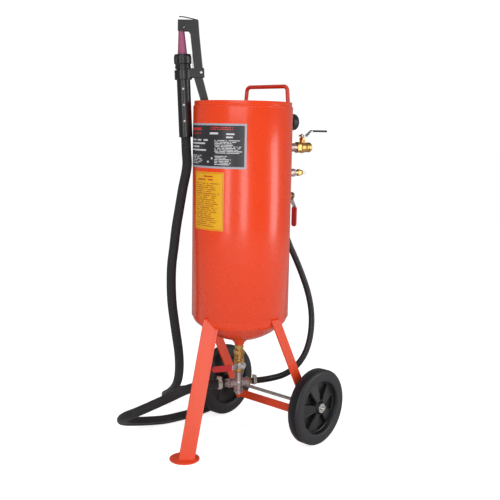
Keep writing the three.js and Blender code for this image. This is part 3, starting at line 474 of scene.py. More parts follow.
class Shape:
    """Faces, gathered in metres, that become one piece."""

    def __init__(self):
        self.mesh = bmesh.new()
        self.along = self.mesh.loops.layers.uv.new("Along")

    def loft(self, rings, place=TANK, closed=False):
        """Skins rings of points. U goes round the rings, V is the way along them in metres."""
        rows = [[self.mesh.verts.new(place @ Vector(p)) for p in ring] for ring in rings]
        count = len(rows[0])
        runs = [0.0]
        for near, far in zip(rows, rows[1:]):
            runs.append(runs[-1] + (near[0].co - far[0].co).length)
        steps = [(k, k + 1) for k in range(len(rows) - 1)]
        if closed:
            runs.append(runs[-1] + (rows[-1][0].co - rows[0][0].co).length)
            steps.append((len(rows) - 1, 0))
        for k, (a, b) in enumerate(steps):
            for i in range(count):
                j = (i + 1) % count
                face = self.mesh.faces.new((rows[a][i], rows[a][j], rows[b][j], rows[b][i]))
                corners = [(i, k), (i + 1, k), (i + 1, k + 1), (i, k + 1)]
                for loop, (u, v) in zip(face.loops, corners):
                    loop[self.along].uv = (u / count, runs[v])
        if not closed:
            self.mesh.faces.new(rows[0][::-1])
            self.mesh.faces.new(rows[-1])
        made = [v for row in rows for v in row]
        bmesh.ops.remove_doubles(self.mesh, verts=made, dist=SAME_SPOT)
        return self

    def turned(self, profile, place=TANK, sides=64, relief=None):
        """A solid of revolution from (radius, height) points. relief(angle, r, z) reshapes it."""
        on_axis = profile[0][0] == 0 and profile[-1][0] == 0
        rings = []
        for r, z in profile:
            ring = []
            for i in range(sides):
                angle = 2 * math.pi * i / sides
                radius, height = relief(angle, r, z) if relief and r > 0 else (r, z)
                ring.append((radius * math.cos(angle), radius * math.sin(angle), height))
            rings.append(ring)
        return self.loft(rings, place, closed=not on_axis)

    def bar(self, radius, low, high, place=TANK, sides=40, ease=0.5, bore=0):
        """A bar along Z with eased edges, or a hexagon with 6 sides. bore makes it hollow."""
        edge = [(radius - ease, low), (radius, low + ease),
                (radius, high - ease), (radius - ease, high)]
        return self.turned([(bore, low), *edge, (bore, high)], place, sides)

    def ball(self, radius, place):
        """A ball with its poles on Z."""
        side = arc(0, 0, radius, -80, 80, 16)
        return self.turned([(0, -radius), *side, (0, radius)], place, sides=40)

    def block(self, low, high, place=TANK, ease=0.4):
        """A box between two corners, with its upper and lower edges eased."""
        (x0, y0, z0), (x1, y1, z1) = low, high
        rings = []
        for inset, z in ((ease, z0), (0, z0 + ease), (0, z1 - ease), (ease, z1)):
            a, b, c, d = x0 + inset, x1 - inset, y0 + inset, y1 - inset
            rings.append([(a, c, z), (b, c, z), (b, d, z), (a, d, z)])
        return self.loft(rings, place)

    def tube(self, points, radius, place=TANK, sides=16, closed=False, swell=None):
        """A round tube that follows points, with no twist. swell(k) changes the radius at a point."""
        path = [Vector(p) for p in points]
        last = len(path) - 1
        tangents = []
        for k in range(len(path)):
            before = path[k - 1] if closed else path[max(k - 1, 0)]
            after = path[(k + 1) % len(path)] if closed else path[min(k + 1, last)]
            tangents.append((after - before).normalized())
        normal = tangents[0].orthogonal().normalized()
        steps = [2 * math.pi * i / sides for i in range(sides)]
        rings = []
        for k, (point, tangent) in enumerate(zip(path, tangents)):
            normal = (normal - tangent * normal.dot(tangent)).normalized()
            side = tangent.cross(normal)
            size = radius * (swell(k) if swell else 1)
            rings.append([point + (normal * math.cos(a) + side * math.sin(a)) * size for a in steps])
        return self.loft(rings, place, closed=closed)

    def copied(self, node):
        """The CAD node's own surface, with its flat faces made whole again."""
        same_corner = 1e-5
        start = len(self.mesh.verts)
        self.mesh.from_mesh(frame["nodes"][node].data)
        self.mesh.verts.ensure_lookup_table()
        fresh = self.mesh.verts[start:]
        bmesh.ops.remove_doubles(self.mesh, verts=fresh, dist=same_corner)
        edges = [e for e in self.mesh.edges if len(e.link_faces) == 2]
        flat = {"angle_limit": math.radians(1), "edges": edges, "verts": []}
        bmesh.ops.dissolve_limit(self.mesh, **flat, use_dissolve_boundaries=False)
        return self

    def become(self, name, slot, nodes=(), body=None, bevel=0.0, crease=32):
        """Turns the faces into a piece that rides on its body and stands for the nodes."""
        bmesh.ops.recalc_face_normals(self.mesh, faces=self.mesh.faces)
        data = bpy.data.meshes.new(name)
        self.mesh.to_mesh(data)
        self.mesh.free()
        data.shade_smooth()
        data.set_sharp_from_angle(angle=math.radians(crease))
        data.materials.append(bpy.data.materials[f"{slot}_finish"])
        made = bpy.data.objects.new(name, data)
        bpy.context.scene.collection.objects.link(made)
        if bevel:
            edges = made.modifiers.new("Eased edges", "BEVEL")
            edges.width = bevel
            edges.segments = 2
            edges.limit_method = "ANGLE"
            edges.angle_limit = math.radians(crease)
            edges.harden_normals = True
        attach(made, body or BODY_OF[nodes[0]])
        if nodes:
            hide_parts(*nodes)
        return made


def refine(node, slot, bevel):
    """Redraws a CAD node that has flat faces with its edges eased."""
    Shape().copied(node).become(f"{node}_finished", slot, [node], bevel=bevel)


def weld_bead(points, radius, closed=False):
    """A rippled bead along points, as laid by hand in short overlapping puddles."""
    def ripple(k):
        return 1 + 0.16 * math.sin(k * 2.1) + 0.08 * math.sin(k * 0.37)
    return Shape().tube(points, radius, sides=8, closed=closed, swell=ripple)


def dish(skirt, knuckle, drop):
    """A head's dish as (radius, drop): a knuckle arc, then a shallow arc to the axis."""
    steps = 12
    edge = arc(skirt - knuckle, 0, knuckle, 0, 62, steps)
    r, h = edge[-1]
    rest = drop - h
    crown = (r * r + rest * rest) / (2 * rest)
    radii = [r * (1 - i / steps) for i in range(1, steps + 1)]
    return edge + [(x, h + rest - crown + math.sqrt(crown * crown - x * x)) for x in radii]


def hanging(level, points):
    """A dish's points, hung below a level and stopped 1 mm short of the axis."""
    return [(max(r, 1), level - drop) for r, drop in points]


# ------------------------------------------------------------------ hoses

def smooth_route(points, step):
    """A smooth curve through the points that keeps clear of kinks, as places a step apart."""
    path = [Vector(p) + Vector((AXIS.x, AXIS.y, 0)) for p in points]
    ends = [2 * path[0] - path[1], *path, 2 * path[-1] - path[-2]]
    made = []
    for a, b, c, d in zip(ends, ends[1:], ends[2:], ends[3:]):
        gaps = [math.sqrt((q - p).length) for p, q in ((a, b), (b, c), (c, d))]
        out = ((b - a) / gaps[0] - (c - a) / (gaps[0] + gaps[1]) + (c - b) / gaps[1]) * gaps[1]
        back = ((c - b) / gaps[1] - (d - b) / (gaps[1] + gaps[2]) + (d - c) / gaps[2]) * gaps[1]
        count = max(2, round((c - b).length / step))
        for i in range(count):
            t = i / count
            made.append(b + out * t + (3 * (c - b) - 2 * out - back) * t**2
                        + (2 * (b - c) + out + back) * t**3)
    return [*made, path[-1]]


def make_hose(node, slot, route, diameter):
    """A hose laid along its route, from one tail to the other."""
    path = smooth_route(route, HOSE_STEP)
    made = Shape().tube(path, diameter / 2, Matrix(), sides=32).become(f"{node}_laid", slot, [node])


# ------------------------------------------------------------------ tank

def make_shell(sides):
    """The rolled sheet, with its rim's outer edge rounded."""
    inside, rounding, foot_rounding = TANK_RADIUS - WALL, 1.5, 1.2
    profile = [
        (inside, SHELL_BOTTOM), (TANK_RADIUS - foot_rounding, SHELL_BOTTOM),
        (TANK_RADIUS, SHELL_BOTTOM + foot_rounding), (TANK_RADIUS, SHELL_TOP - rounding),
        (TANK_RADIUS - rounding, SHELL_TOP), (inside, SHELL_TOP),
    ]
    Shape().turned(profile, sides=sides).become("shell_rolled", "tank_paint", ["tank_shell"], crease=50)


def make_heads(sides):
    """The dished heads: the top one hangs in the rim, and the bottom one closes the shell."""
    inside = HEAD_RADIUS - WALL
    drop = TOP_DISH_EDGE - TOP_DISH_BOTTOM
    outer = dish(HEAD_RADIUS, KNUCKLE, drop + WALL)
    inner = dish(inside, KNUCKLE - WALL, drop)
    top = [
        (HEAD_RADIUS - 1, RIM_TOP), (HEAD_RADIUS, RIM_TOP - 1), *hanging(TOP_DISH_EDGE, outer),
        *hanging(TOP_DISH_EDGE, inner)[::-1], (inside, RIM_TOP - 1), (inside + 1, RIM_TOP),
    ]
    Shape().turned(top, sides=sides).become("top_head_pressed", "tank_paint", ["top_head"], crease=50)

    drop = SHELL_BOTTOM - BOTTOM_LOW
    outer = dish(HEAD_RADIUS, KNUCKLE, drop)
    inner = dish(inside, KNUCKLE - WALL, drop - WALL)
    skirt = SHELL_BOTTOM + 22
    bottom = [(HEAD_RADIUS, skirt), *hanging(SHELL_BOTTOM, outer),
              *hanging(SHELL_BOTTOM, inner)[::-1], (inside, skirt)]
    Shape().turned(bottom, sides=sides).become(
        "bottom_head_pressed", "tank_paint", ["bottom_head"], crease=50)


def make_boss():
    """The outlet boss, which widens up to the head."""
    profile = [(10, 329), (14.5, 329), (16.5, 331), (16.8, 336), (21, 339), (23, 342), (23, 350),
               (21, 353), (10, 353)]
    Shape().turned(profile, sides=48).become("outlet_boss_turned", "tank_paint", ["outlet_boss"])


def make_seams(bead):
    """The welds round the rim and the shell's lower edge."""
    seams = [("rim_weld", TANK_RADIUS - 3.2, SHELL_TOP + 0.5, bead * 1.9),
             ("seam_weld", TANK_RADIUS - 1.4, SHELL_BOTTOM, bead)]
    for name, radius, z, size in seams:
        path = circle(radius, z, 720)
        weld_bead(path, size, closed=True).become(name, "tank_paint", body="root", crease=80)


def make_handle(bead):
    """The carrying handle, bent from rod, and its welds to the head."""
    foot_out, grip_out, back = 92.5, 88, 112
    foot_low, grip_level, bend, rod = 1058, 1175, 15, 6.5
    leg = [(-foot_out, back, foot_low), (-foot_out, back, RIM_TOP - 8), (-grip_out, back, grip_level - bend)]
    corner = [(-grip_out + bend - x, back, grip_level - bend + z) for x, z in arc(0, 0, bend, 0, 90, 8)][1:]
    up_and_over = leg + corner
    path = up_and_over + [(-x, y, z) for x, y, z in up_and_over[::-1]]
    Shape().tube(path, rod, sides=24).become("handle_bent", "handle_paint", ["carry_handle"], crease=60)
    for side, name in ((-1, "left"), (1, "right")):
        spots = [p + Vector((side * foot_out, back, 0)) for p in circle(rod + 1.1, foot_low + 10, 40)]
        weld_bead(spots, bead * 1.3, closed=True).become(
            f"handle_weld_{name}", "handle_paint", body="root", crease=80)


def make_stickers():
    """The two films, as (node, finish, half their width in degrees, low edge, high edge)."""
    inner, outer = TANK_RADIUS + 0.1, TANK_RADIUS + 0.5
    steps = 48
    stickers = [("front_label", "label_film", 47.3, 917, 1053),
                ("instruction_sheet", "sheet_film", 22.5, 725, 905)]
    for node, slot, half, low, high in stickers:
        rings = []
        for i in range(steps + 1):
            a = math.radians(FRONT - half + 2 * half * i / steps)
            ring = [(inner, low), (outer, low), (outer, high), (inner, high)]
            rings.append([(r * math.cos(a), r * math.sin(a), z) for r, z in ring])
        film = Shape().loft(rings)
        for face in film.mesh.faces:
            for loop in face.loops:
                spot = TANK.inverted() @ loop.vert.co
                around = math.degrees(math.atan2(spot.y, spot.x)) - FRONT + half
                loop[film.along].uv = (around / (2 * half), (spot.z - low) / (high - low))
        film.become(f"{node}_film", slot, [node])


def make_filler():
    """The filler in the bowl: collar, gasket, and a screw cap with a bar to turn it by."""
    radius, bore, gasket = 24, 18, 2
    low, high = TOP_DISH_BOTTOM - 8, TOP_DISH_BOTTOM + 20
    Shape().bar(radius, low, high, bore=bore).become(
        "filler_collar_turned", "tank_paint", ["filler_collar"])
    weld_bead(circle(radius + 1, TOP_DISH_BOTTOM + 1, 90), 1.8, closed=True).become(
        "filler_weld", "tank_paint", body="root", crease=80)
    Shape().bar(radius, high + GAP, high + GAP + gasket, bore=bore).become(
        "filler_gasket_cut", "black_rubber", ["filler_gasket"])
    seat = high + 2 * GAP + gasket
    cap = Shape().bar(17.5, seat - 14, seat + 1)

    def milled(angle, r, z):
        return (r - 0.7 * (math.sin(angle * 36) > 0.2) if r > 26 else r, z)
    cap.turned([(0, seat), (26, seat), (27, seat + 1), (27, seat + 8), (25.5, seat + 9), (0, seat + 9)],
               sides=216, relief=milled)
    cap.bar(7, seat + 8, seat + 20)
    cap.turned([(0, -34), (3.5, -33.4), (4.5, -32), (4.5, 32), (3.5, 33.4), (0, 34)],
               TANK @ shift(z=seat + 16) @ ALONG_X, sides=32)
    cap.become("filler_cap_with_bar", "black_metal", ["filler_cap"])


# ------------------------------------------------------------------ legs and wheels

def make_legs():
    """The legs and crossbar, the round pad under the front leg, and the welds between the two."""
    for node in ("front_leg", "rear_leg_left", "rear_leg_right", "crossbar"):
        refine(node, "leg_paint", 0.0009)
    radius, thick, pad_front = 48, 5, -246
    pad = [(0, 0), (radius - 1.5, 0), (radius, 1.2), (radius, thick - 1.2), (radius - 1.5, thick), (0, thick)]
    Shape().turned(pad, TANK @ shift(y=pad_front), sides=96).become(
        "foot_pad_cut", "leg_paint", ["foot_pad"])
    corner, leg_side, steps = Vector((0, pad_front - 24, thick + 1)), 33, 24
    for side, name in ((-1, "left"), (1, "right")):
        end = corner + Vector((side * leg_side, leg_side, 0))
        line = [corner.lerp(end, i / steps) for i in range(steps + 1)]
        weld_bead(line, 2.2).become(f"foot_weld_{name}", "leg_paint", body="root", crease=80)


TREAD_RADIUS = 127
TYRE_HALF = 22
GROOVES = (10.4, 4.8, -0.8)
SPOKES = 5


def tyre_profile():
    """Rounded shoulders, and a flat tread with three grooves nearer the outer one."""
    fall, drop, depth = 12, 9, 2.6
    shoulder = [(TREAD_RADIUS - fall + fall * math.sin(a), TYRE_HALF - drop + drop * math.cos(a))
                for a in (math.radians(step * 15) for step in range(6))]
    outer = [(90, 20), (94, 21.6), (97, TYRE_HALF), (112, TYRE_HALF), *shoulder]
    tread = []
    for centre in GROOVES:
        tread += [(TREAD_RADIUS, centre + 1.9), (TREAD_RADIUS - depth, centre + 0.9),
                  (TREAD_RADIUS - depth, centre - 0.9), (TREAD_RADIUS, centre - 1.9)]
    inner = [(r, -z) for r, z in outer[::-1]]
    return outer + tread + inner


def spoke_relief(angle, r, z):
    """Five deep wedges cut between five spokes that rise to the hub, each with a raised edge."""
    hub, rim, first_wedge = 21, 85, math.radians(18)
    if not hub < r < rim or abs(z) > 12:
        return r, z
    # half is the wedge's half angle, which widens outwards, and away the angle from its middle line.
    # inside is the way in from the wedge's nearest edge, less than 0 on a spoke.
    sector = 2 * math.pi / SPOKES
    away = abs((angle - first_wedge + sector / 2) % sector - sector / 2)
    half = math.radians(13 + 7 * (r - 24) / 60)
    inside = min((half - away) * r, (r - 25) * 0.8, 82 - r)
    cut = min(1, max(0, inside / 1.5))
    lip = max(0, 1.3 - abs(inside + 2.4))
    if z < 0:
        return r, z - lip * 0.5 + 4.5 * cut
    slope = 11 * (1 - (r - 20) / 65)
    return r, z + slope + lip - (9 + slope) * cut


def make_wheel(side, name):
    """A tyre on its moulded disc, and the washer and split pin that keep it on the axle."""
    wheel_out = 210.5
    place = TANK @ shift(side * wheel_out, AXLE_BACK, AXLE_LEVEL) @ turn(side * 90, "Y")
    Shape().turned(tyre_profile(), place, sides=160).become(
        f"tyre_{name}_grooved", "tyre_rubber", [f"tyre_{name}"], crease=38)

    face = [(21 + 0.8 * i, 6) for i in range(81)]
    disc = [(6.4, 22.5), (15, 22.5), (17, 21), (18.5, 17.5), *face, (86.5, 7), (88, 17.5), (89, 19),
            (89.7, 19), (89.7, -19), (85, -19), (83, -10), *[(r, -10) for r, _ in face[::-1][4:]],
            (18.5, -10.5), (18, -22.5), (6.4, -22.5)]
    Shape().turned(disc, place, sides=320, relief=spoke_relief).become(
        f"disc_{name}_moulded", "black_plastic", [f"wheel_disc_{name}"], crease=45)

    bore, pin_level, pin_head, eye, wire_radius = 6.3, 27, 13, 2.8, 0.95
    keeper = Shape().bar(16, 23, 25.4, place, bore=bore)
    keeper.turned([(bore, 25.2), (12, 25.2), (11, 26), (bore, 26)], place)
    wires = [[(-1.1, pin_head), (-1.1, 0), (-1.1, -10), (-3.5, -15.5)],
             [(1.1, pin_head), (1.1, 0), (1.1, -10), (3.8, -14.5)],
             arc(0, pin_head + eye, eye, -90, 270, 12)]
    for wire in wires:
        keeper.tube([(x, y, pin_level) for x, y in wire], wire_radius, place, sides=10)
    keeper.become(f"washer_and_pin_{name}", "zinc_steel", [f"axle_retainer_{name}"])


def make_axle():
    """The axle, with its ends eased."""
    radius, reach, ease = 6, 244.5, 1.5
    shaft = TANK @ shift(0, AXLE_BACK, AXLE_LEVEL) @ ALONG_X
    rod = [(0, -reach), (radius - 1, -reach), (radius, -reach + ease),
           (radius, reach - ease), (radius - 1, reach), (0, reach)]
    Shape().turned(rod, shaft, sides=40).become("axle_turned", "zinc_steel", ["axle"])


# ------------------------------------------------------------------ valves

def make_valve(name, before, after, shoulder, sleeve, nipple=0.0):
    """A ball valve: flow along Z, stem along X, and the lever with its sleeve on the moving body."""
    place = VALVES[name]
    bore = 7
    low = -before + nipple
    body = Shape()
    if nipple:
        body.bar(11.5, -before, low + 1, place, bore=bore)
        body.bar(15, -before + 2, -before + 13, place, sides=6, bore=bore)
    body.bar(18.5, low, low + 15, place, sides=6, ease=1.2, bore=bore)
    barrel = [(bore, low + 12), (15.5, low + 12), (15.5, -15), (17, -14), (17.5, -12), (17.5, 8),
              (16.5, 11), (15.5, 12), (15.5, after - 13), (16.8, after - 12), (16.8, after - 2),
              (15.2, after), (bore, after)]
    body.turned(barrel, place, sides=48)
    for step in range(4):
        spot = low + 16 + step * 1.6
        if spot < -16:
            body.bar(16.1, spot, spot + 0.9, place, bore=bore, ease=0.3)
    stem_way = place @ ALONG_X
    body.bar(9.5, 5, shoulder - 9, stem_way)
    body.bar(10.6, shoulder - 11, shoulder - 4, stem_way, sides=6, ease=0.8)
    body.bar(7, shoulder - 5, shoulder - 1, stem_way, ease=0.4)
    body.bar(6.5, -19.5, -15, stem_way, ease=0.8)
    body.become(f"{name}_valve_forged", "brass", [f"{name}_valve_body"])

    swing = place @ turn(-90, "X") if name == "sand" else place
    stem_way = swing @ ALONG_X
    nut = shoulder + 3.1
    top = Shape().bar(8, nut, nut + 5, stem_way, sides=6, ease=0.7)
    top.bar(4, nut - 4, nut + 7, stem_way, ease=0.6)
    top.bar(9.6, nut - 0.1, nut + 0.8, stem_way, ease=0.2, bore=4.2)
    top.become(f"{name}_lever_nut", "zinc_steel", [f"{name}_valve_stem"])
    lever = Shape().copied(f"{name}_lever")
    lever.bar(12.2, shoulder + 2.4, shoulder + 6.2, stem_way, bore=9.9, ease=0.5)
    lever.become(f"{name}_lever_pressed", "zinc_steel", [f"{name}_lever"], bevel=0.0005)
    refine(f"{name}_lever_sleeve", sleeve, 0.0022)


def band_clamp(name, node, radius, width, place, wing):
    """A slotted band round a hose with its screw across the top, and a wing to turn it by."""
    inner, outer = radius + 0.5, radius + 2.1
    shape = Shape().bar(outer, -width / 2, width / 2, place, bore=inner, ease=0.4)

    def beaded(angle, r, z):
        return (r + 0.5 * (math.sin(angle * 44) > 0), z) if r > inner + 1 else (r, z)
    core = width / 2 - 2.2
    shape.turned([(outer - 1, -core), (outer + 0.1, -core), (outer + 0.1, core), (outer - 1, core)],
                 place, sides=176, relief=beaded)
    top = outer + 3.2
    shape.block((outer - 1, -6, -width / 2 - 0.6), (outer + 6.4, 6, width / 2 + 0.6), place, ease=1.1)
    screw = place @ shift(x=top) @ ALONG_Y
    shape.bar(3.1, -13, 8, screw, ease=0.5)
    for thread in range(5):
        spot = -11 + thread * 1.2
        shape.bar(3.5, spot, spot + 0.6, screw, ease=0.2)
    shape.bar(4.6, 6, 12.5, screw, sides=6, ease=0.7)
    if wing:
        flat = screw @ shift(z=13)
        shape.block((-7.5, -0.9, -3), (7.5, 0.9, 8), flat, ease=0.6)
    shape.become(name, "zinc_steel", [node])


# ------------------------------------------------------------------ side ports

def make_gauge():
    """The pressure gauge: case and stem, dial with its ticks, needle and lens."""
    tick_count, sweep = 28, 270
    place = PORTS @ shift(z=1063) @ ALONG_X
    back, front = TANK_RADIUS + 34, TANK_RADIUS + 57
    case = [(0, back), (25, back), (26.6, back + 1.5), (27, back + 6), (27, front - 2.5),
            (26.2, front - 0.6), (25.4, front), (24.6, front - 0.4), (24.5, back + 3), (0, back + 3)]
    Shape().turned(case, place, sides=72).bar(6.8, TANK_RADIUS - 2, back + 1, place).bar(
        9, back - 14, back - 4, place, sides=6, ease=0.8).become(
        "gauge_case_moulded", "black_plastic", ["gauge_case"])
    Shape().bar(24.1, back + 4, back + 6, place, ease=0.1).become(
        "gauge_dial_disc", "dial_face", ["gauge_dial"])
    ticks = Shape()
    level = back + 6
    for i in range(tick_count):
        inner, wide = (18.5, 0.55) if i % 3 == 0 else (20, 0.3)
        bearing = sweep * i / (tick_count - 1) - sweep / 2
        ticks.block((inner, -wide, level), (22.5, wide, level + 0.15), place @ turn(bearing, "Z"), 0.05)
    ticks.become("gauge_ticks", "black_metal", body="root")
    refine("gauge_needle", "black_metal", 0.0002)
    lens = [(0, front - 4), (24.1, front - 4), (24.1, front - 2.5), (16, front - 2.1), (0, front - 1.9)]
    Shape().turned(lens, place, sides=64).become("gauge_lens_domed", "clear_lens", ["gauge_lens"])


def make_exhaust():
    """The exhaust's threaded nipple and its ball valve."""
    way = PORTS @ shift(z=979) @ ALONG_X
    nipple = Shape().bar(13.4, TANK_RADIUS - 7, 223.6, way, bore=10)
    for ridge in range(5):
        spot = TANK_RADIUS + 41 + ridge * 4.2
        nipple.bar(14.2, spot, spot + 2, way, bore=10, ease=0.8)
    nipple.become("exhaust_nipple_threaded", "nickel", ["exhaust_nipple"])
    make_valve("exhaust", 30, 33, 36, "black_rubber")


def make_relief():
    """The relief valve in its socket, with the ring that opens it."""
    way = PORTS @ shift(z=894) @ ALONG_X
    socket = Shape().bar(12.8, TANK_RADIUS - 7, 222, way, bore=7)
    socket.bar(13.4, 206, 221.8, way, sides=8, bore=7, ease=1.2)
    socket.become("relief_socket_turned", "nickel", ["relief_socket"])
    body = Shape().bar(9, 222.3, 240, way, bore=3)
    body.bar(11.6, 233, 246, way, sides=6, ease=1.2, bore=3)
    body.turned([(3, 246), (9.6, 246), (9.8, 249), (9.2, 252.5), (7.6, 255.4), (5, 256.6), (3, 256.8)],
                way, sides=40)
    body.become("relief_valve_turned", "brass", ["relief_valve_body"])
    pull = Shape().bar(2.4, 228, 262, way, ease=0.5)
    ring = [(x, 0, z) for x, z in arc(0, 266, 5.5, 0, 348, 29)]
    pull.tube(ring, 0.95, way, sides=12, closed=True)
    pull.become("relief_pull_with_ring", "zinc_steel", ["relief_pull_ring"])


def make_air_inlet():
    """The air pipe behind the tank: plug, tee, ball valve and the upper end of the air hose."""
    run, reach, valve_reach = 26, 63, 33
    place = MANIFOLD @ shift(z=TEE_LEVEL)
    branch = place @ ALONG_Y
    tee = Shape().bar(13, -run, run, place, bore=8)
    for low in (-run, run - 9):
        tee.bar(15.2, low, low + 9, place, bore=8, ease=1.2)
    tee.bar(10.8, -reach, -2, branch, bore=7)
    tee.bar(12.6, -20, -6, branch, bore=7, ease=2)
    tee.bar(15.2, -24, -15, branch, bore=7, ease=1.2)
    tee.ball(15, place)
    tee.become("air_tee_cast", "nickel", ["air_tee"])
    low = TEE_LEVEL + run + GAP
    plug = Shape().bar(12.5, low, low + 12, MANIFOLD, sides=6, ease=1, bore=3.5)
    plug.turned([(3.5, low + 12), (7, low + 12), (6, low + 14), (6, low + 19), (7.6, low + 20),
                 (7.6, low + 26), (6, low + 28), (5.6, low + 32), (7, low + 34), (7, low + 38.6),
                 (5.6, low + 40), (3.5, low + 40)], MANIFOLD, sides=40)
    plug.become("air_plug_turned", "zinc_steel", ["air_inlet_plug"])
    make_valve("air", 27.7, valve_reach, 36, "red_vinyl")
    top = AIR_VALVE_LEVEL - valve_reach - GAP
    tail = Shape().bar(12, top - 10, top, MANIFOLD, sides=6, ease=1, bore=5)
    tail.bar(8.5, top - 28.4, top - 9, MANIFOLD, bore=5)
    tail.become("air_tail_top_turned", "brass", ["air_hose_tail_top"])
    band_clamp("air_clamp_top_band", "air_hose_clamp_top", 10.5, 11,
               MANIFOLD @ shift(z=738) @ turn(90, "Z"), wing=False)


# ------------------------------------------------------------------ outlet under the tank

def make_outlet():
    """Under the tank: the sand valve, the four-way cross, and both hoses' lower ends."""
    make_valve("sand", 63.7, 28.7, 32, "red_vinyl", nipple=18)
    arm, upper, band = 33, 38, 9
    side = CROSS @ ALONG_Y
    body = Shape().bar(13.5, -arm, upper, CROSS, bore=9).bar(13.5, -arm, arm, side, bore=9)
    for place, low in ((CROSS, -arm), (CROSS, upper - band), (side, -arm), (side, arm - band)):
        body.bar(15.6, low, low + band, place, bore=9, ease=1.4)
    for quarter in range(4):
        web = CROSS @ turn(90 * quarter, "X")
        body.block((-5.5, 9, 9), (5.5, 15.5, 15.5), web, ease=2.4)
    body.ball(15.6, CROSS)
    body.become("cross_cast", "nickel", ["cross_fitting"], crease=38)
    plug = Shape().bar(12, -arm - 5, -arm - GAP, CROSS).bar(8.7, -arm - 1, -20, CROSS)
    plug.block((-5, -5, -arm - 9), (5, 5, -arm - 4), CROSS, ease=0.7)
    plug.become("cleanout_plug_square", "zinc_steel", ["cleanout_plug"])

    start = -arm - GAP
    tail = Shape().bar(15.5, start - 8, start, side, sides=6, ease=1.2, bore=7)
    tail.bar(11.5, -51.7, start - 7, side, bore=7)
    for rib in range(3):
        spot = start - 10.5 - rib * 2.8
        tail.bar(12.8, spot - 1.6, spot, side, bore=7, ease=0.6)
    tail.become("blast_tail_ribbed", "nickel", ["blast_hose_tail"])
    band_clamp("blast_clamp_band", "blast_hose_clamp", 15.5, 14,
               CROSS @ shift(y=-68) @ ALONG_Y @ turn(-90, "Z"), wing=True)

    low_tail = Shape().bar(13, arm + GAP, arm + 6, side, sides=6, ease=1, bore=5)
    low_tail.bar(9.5, arm + 5, 43.7, side, bore=5)
    low_tail.become("air_tail_low_turned", "brass", ["air_hose_tail_low"])
    band_clamp("air_clamp_low_band", "air_hose_clamp_low", 10.5, 11,
               CROSS @ shift(y=56) @ ALONG_Y @ turn(-90, "Z"), wing=True)


# ------------------------------------------------------------------ blast gun

def make_gun():
    """The gun: holder, clamp ring, cap, nozzle, and the dead-man lever with its spring."""
    top = 232
    holder = [(16, 0), (20, 0), (21.3, 1.2), (21.3, top - 1), (20.3, top), (9, top), (9, 150), (16, 140)]
    Shape().turned(holder, GUN, sides=56).become("holder_pipe", "black_metal", ["nozzle_holder"])
    screws = Shape()
    screw_levels = (51, 101, 151)
    for z in screw_levels:
        spot = GUN @ shift(0, -20.5, z) @ turn(90, "X")
        screws.bar(3.6, 0, 1.9, spot, ease=0.5, sides=24)
        screws.bar(2.1, 1.0, 2.1, spot, ease=0.3, sides=6)
    screws.become("holder_set_screws", "zinc_steel", body="root")

    ring = Shape().turned([(21.6, 180), (26.3, 180), (27.5, 181.2), (27.5, 208.8), (26.3, 210), (21.6, 210)],
                          GUN, sides=56)
    for side in (-1, 1):
        inner, outer = side * 13, side * 16.5
        ring.block((12, min(inner, outer), 185), (66, max(inner, outer), 214), GUN, ease=0.8)
    ring.become("clamp_with_ears", "black_metal", ["gun_clamp"])
    rivets = Shape()
    pivot = GUN @ shift(57.5, 0, 200)
    for side in (-1, 1):
        rivets.bar(4.2, 16.6, 18.4, pivot @ turn(-90 * side, "X"), ease=0.8, sides=24)
    rivets.bar(3, -17, 17, pivot @ ALONG_Y, ease=0.3, sides=24)
    rivets.become("lever_pivot_rivet", "zinc_steel", body="root")

    def knurled(angle, r, z):
        return (r - 0.8 * (math.sin(angle * 30) > 0), z) if r > 27 else (r, z)
    cap = [(21.6, 214), (24.4, 214), (25, 215), (25, 221), (24, 223), (24, 227), (25.5, 228.4)]
    cap += [(27.5, 230 + 1.5 * i) for i in range(15)]
    cap += [(26.2, 253.5), (25.6, 254.4), (26.4, 255.4), (25.5, 258), (15.8, 258), (15.8, 247), (21.6, 247)]
    Shape().turned(cap, GUN, sides=240, relief=knurled).become(
        "nozzle_cap_knurled", "black_metal", ["nozzle_cap"])
    nozzle = [(4, 234.3), (19, 234.3), (19, 246), (15.3, 246.5), (15, 258), (9.4, 331), (9, 333), (4, 333)]
    Shape().turned(nozzle, GUN, sides=56).become("nozzle_ceramic", "ceramic", ["ceramic_nozzle"])

    refine("deadman_lever", "black_metal", 0.0007)
    face = GUN @ shift(10, -12.3, 349) @ turn(90, "X")
    Shape().bar(4.8, 0, 0.9, face, ease=0.3, sides=32, bore=3.4).become(
        "lever_head_eyelet", "black_metal", body="deadman")
    face = GUN @ shift(9, -12.3, 339) @ turn(90, "X")
    Shape().bar(1.6, 0, 1.1, face, ease=0.4, sides=20).become(
        "lever_head_rivet", "zinc_steel", body="deadman")
    Shape().turned([(0, 334), (8, 334), (9.6, 336), (9.6, 358), (0, 358)], GUN, sides=40).become(
        "nozzle_seal", "black_rubber", ["lever_seal"])
    x, y, low, radius, rise, wire_radius = 31, -4, 214, 1.9, 0.95, 0.6
    coil = [(x + radius * math.cos(a), y + radius * math.sin(a), low + a * rise)
            for a in (0.5 * k for k in range(76))]
    tail = [(x, y, 252), (30, -3.6, 256), (29.5, -3.2, 260)]
    Shape().tube(coil + tail, wire_radius, GUN, sides=8).become(
        "deadman_return_spring", "zinc_steel", body="root", crease=60)


# ------------------------------------------------------------------ stage

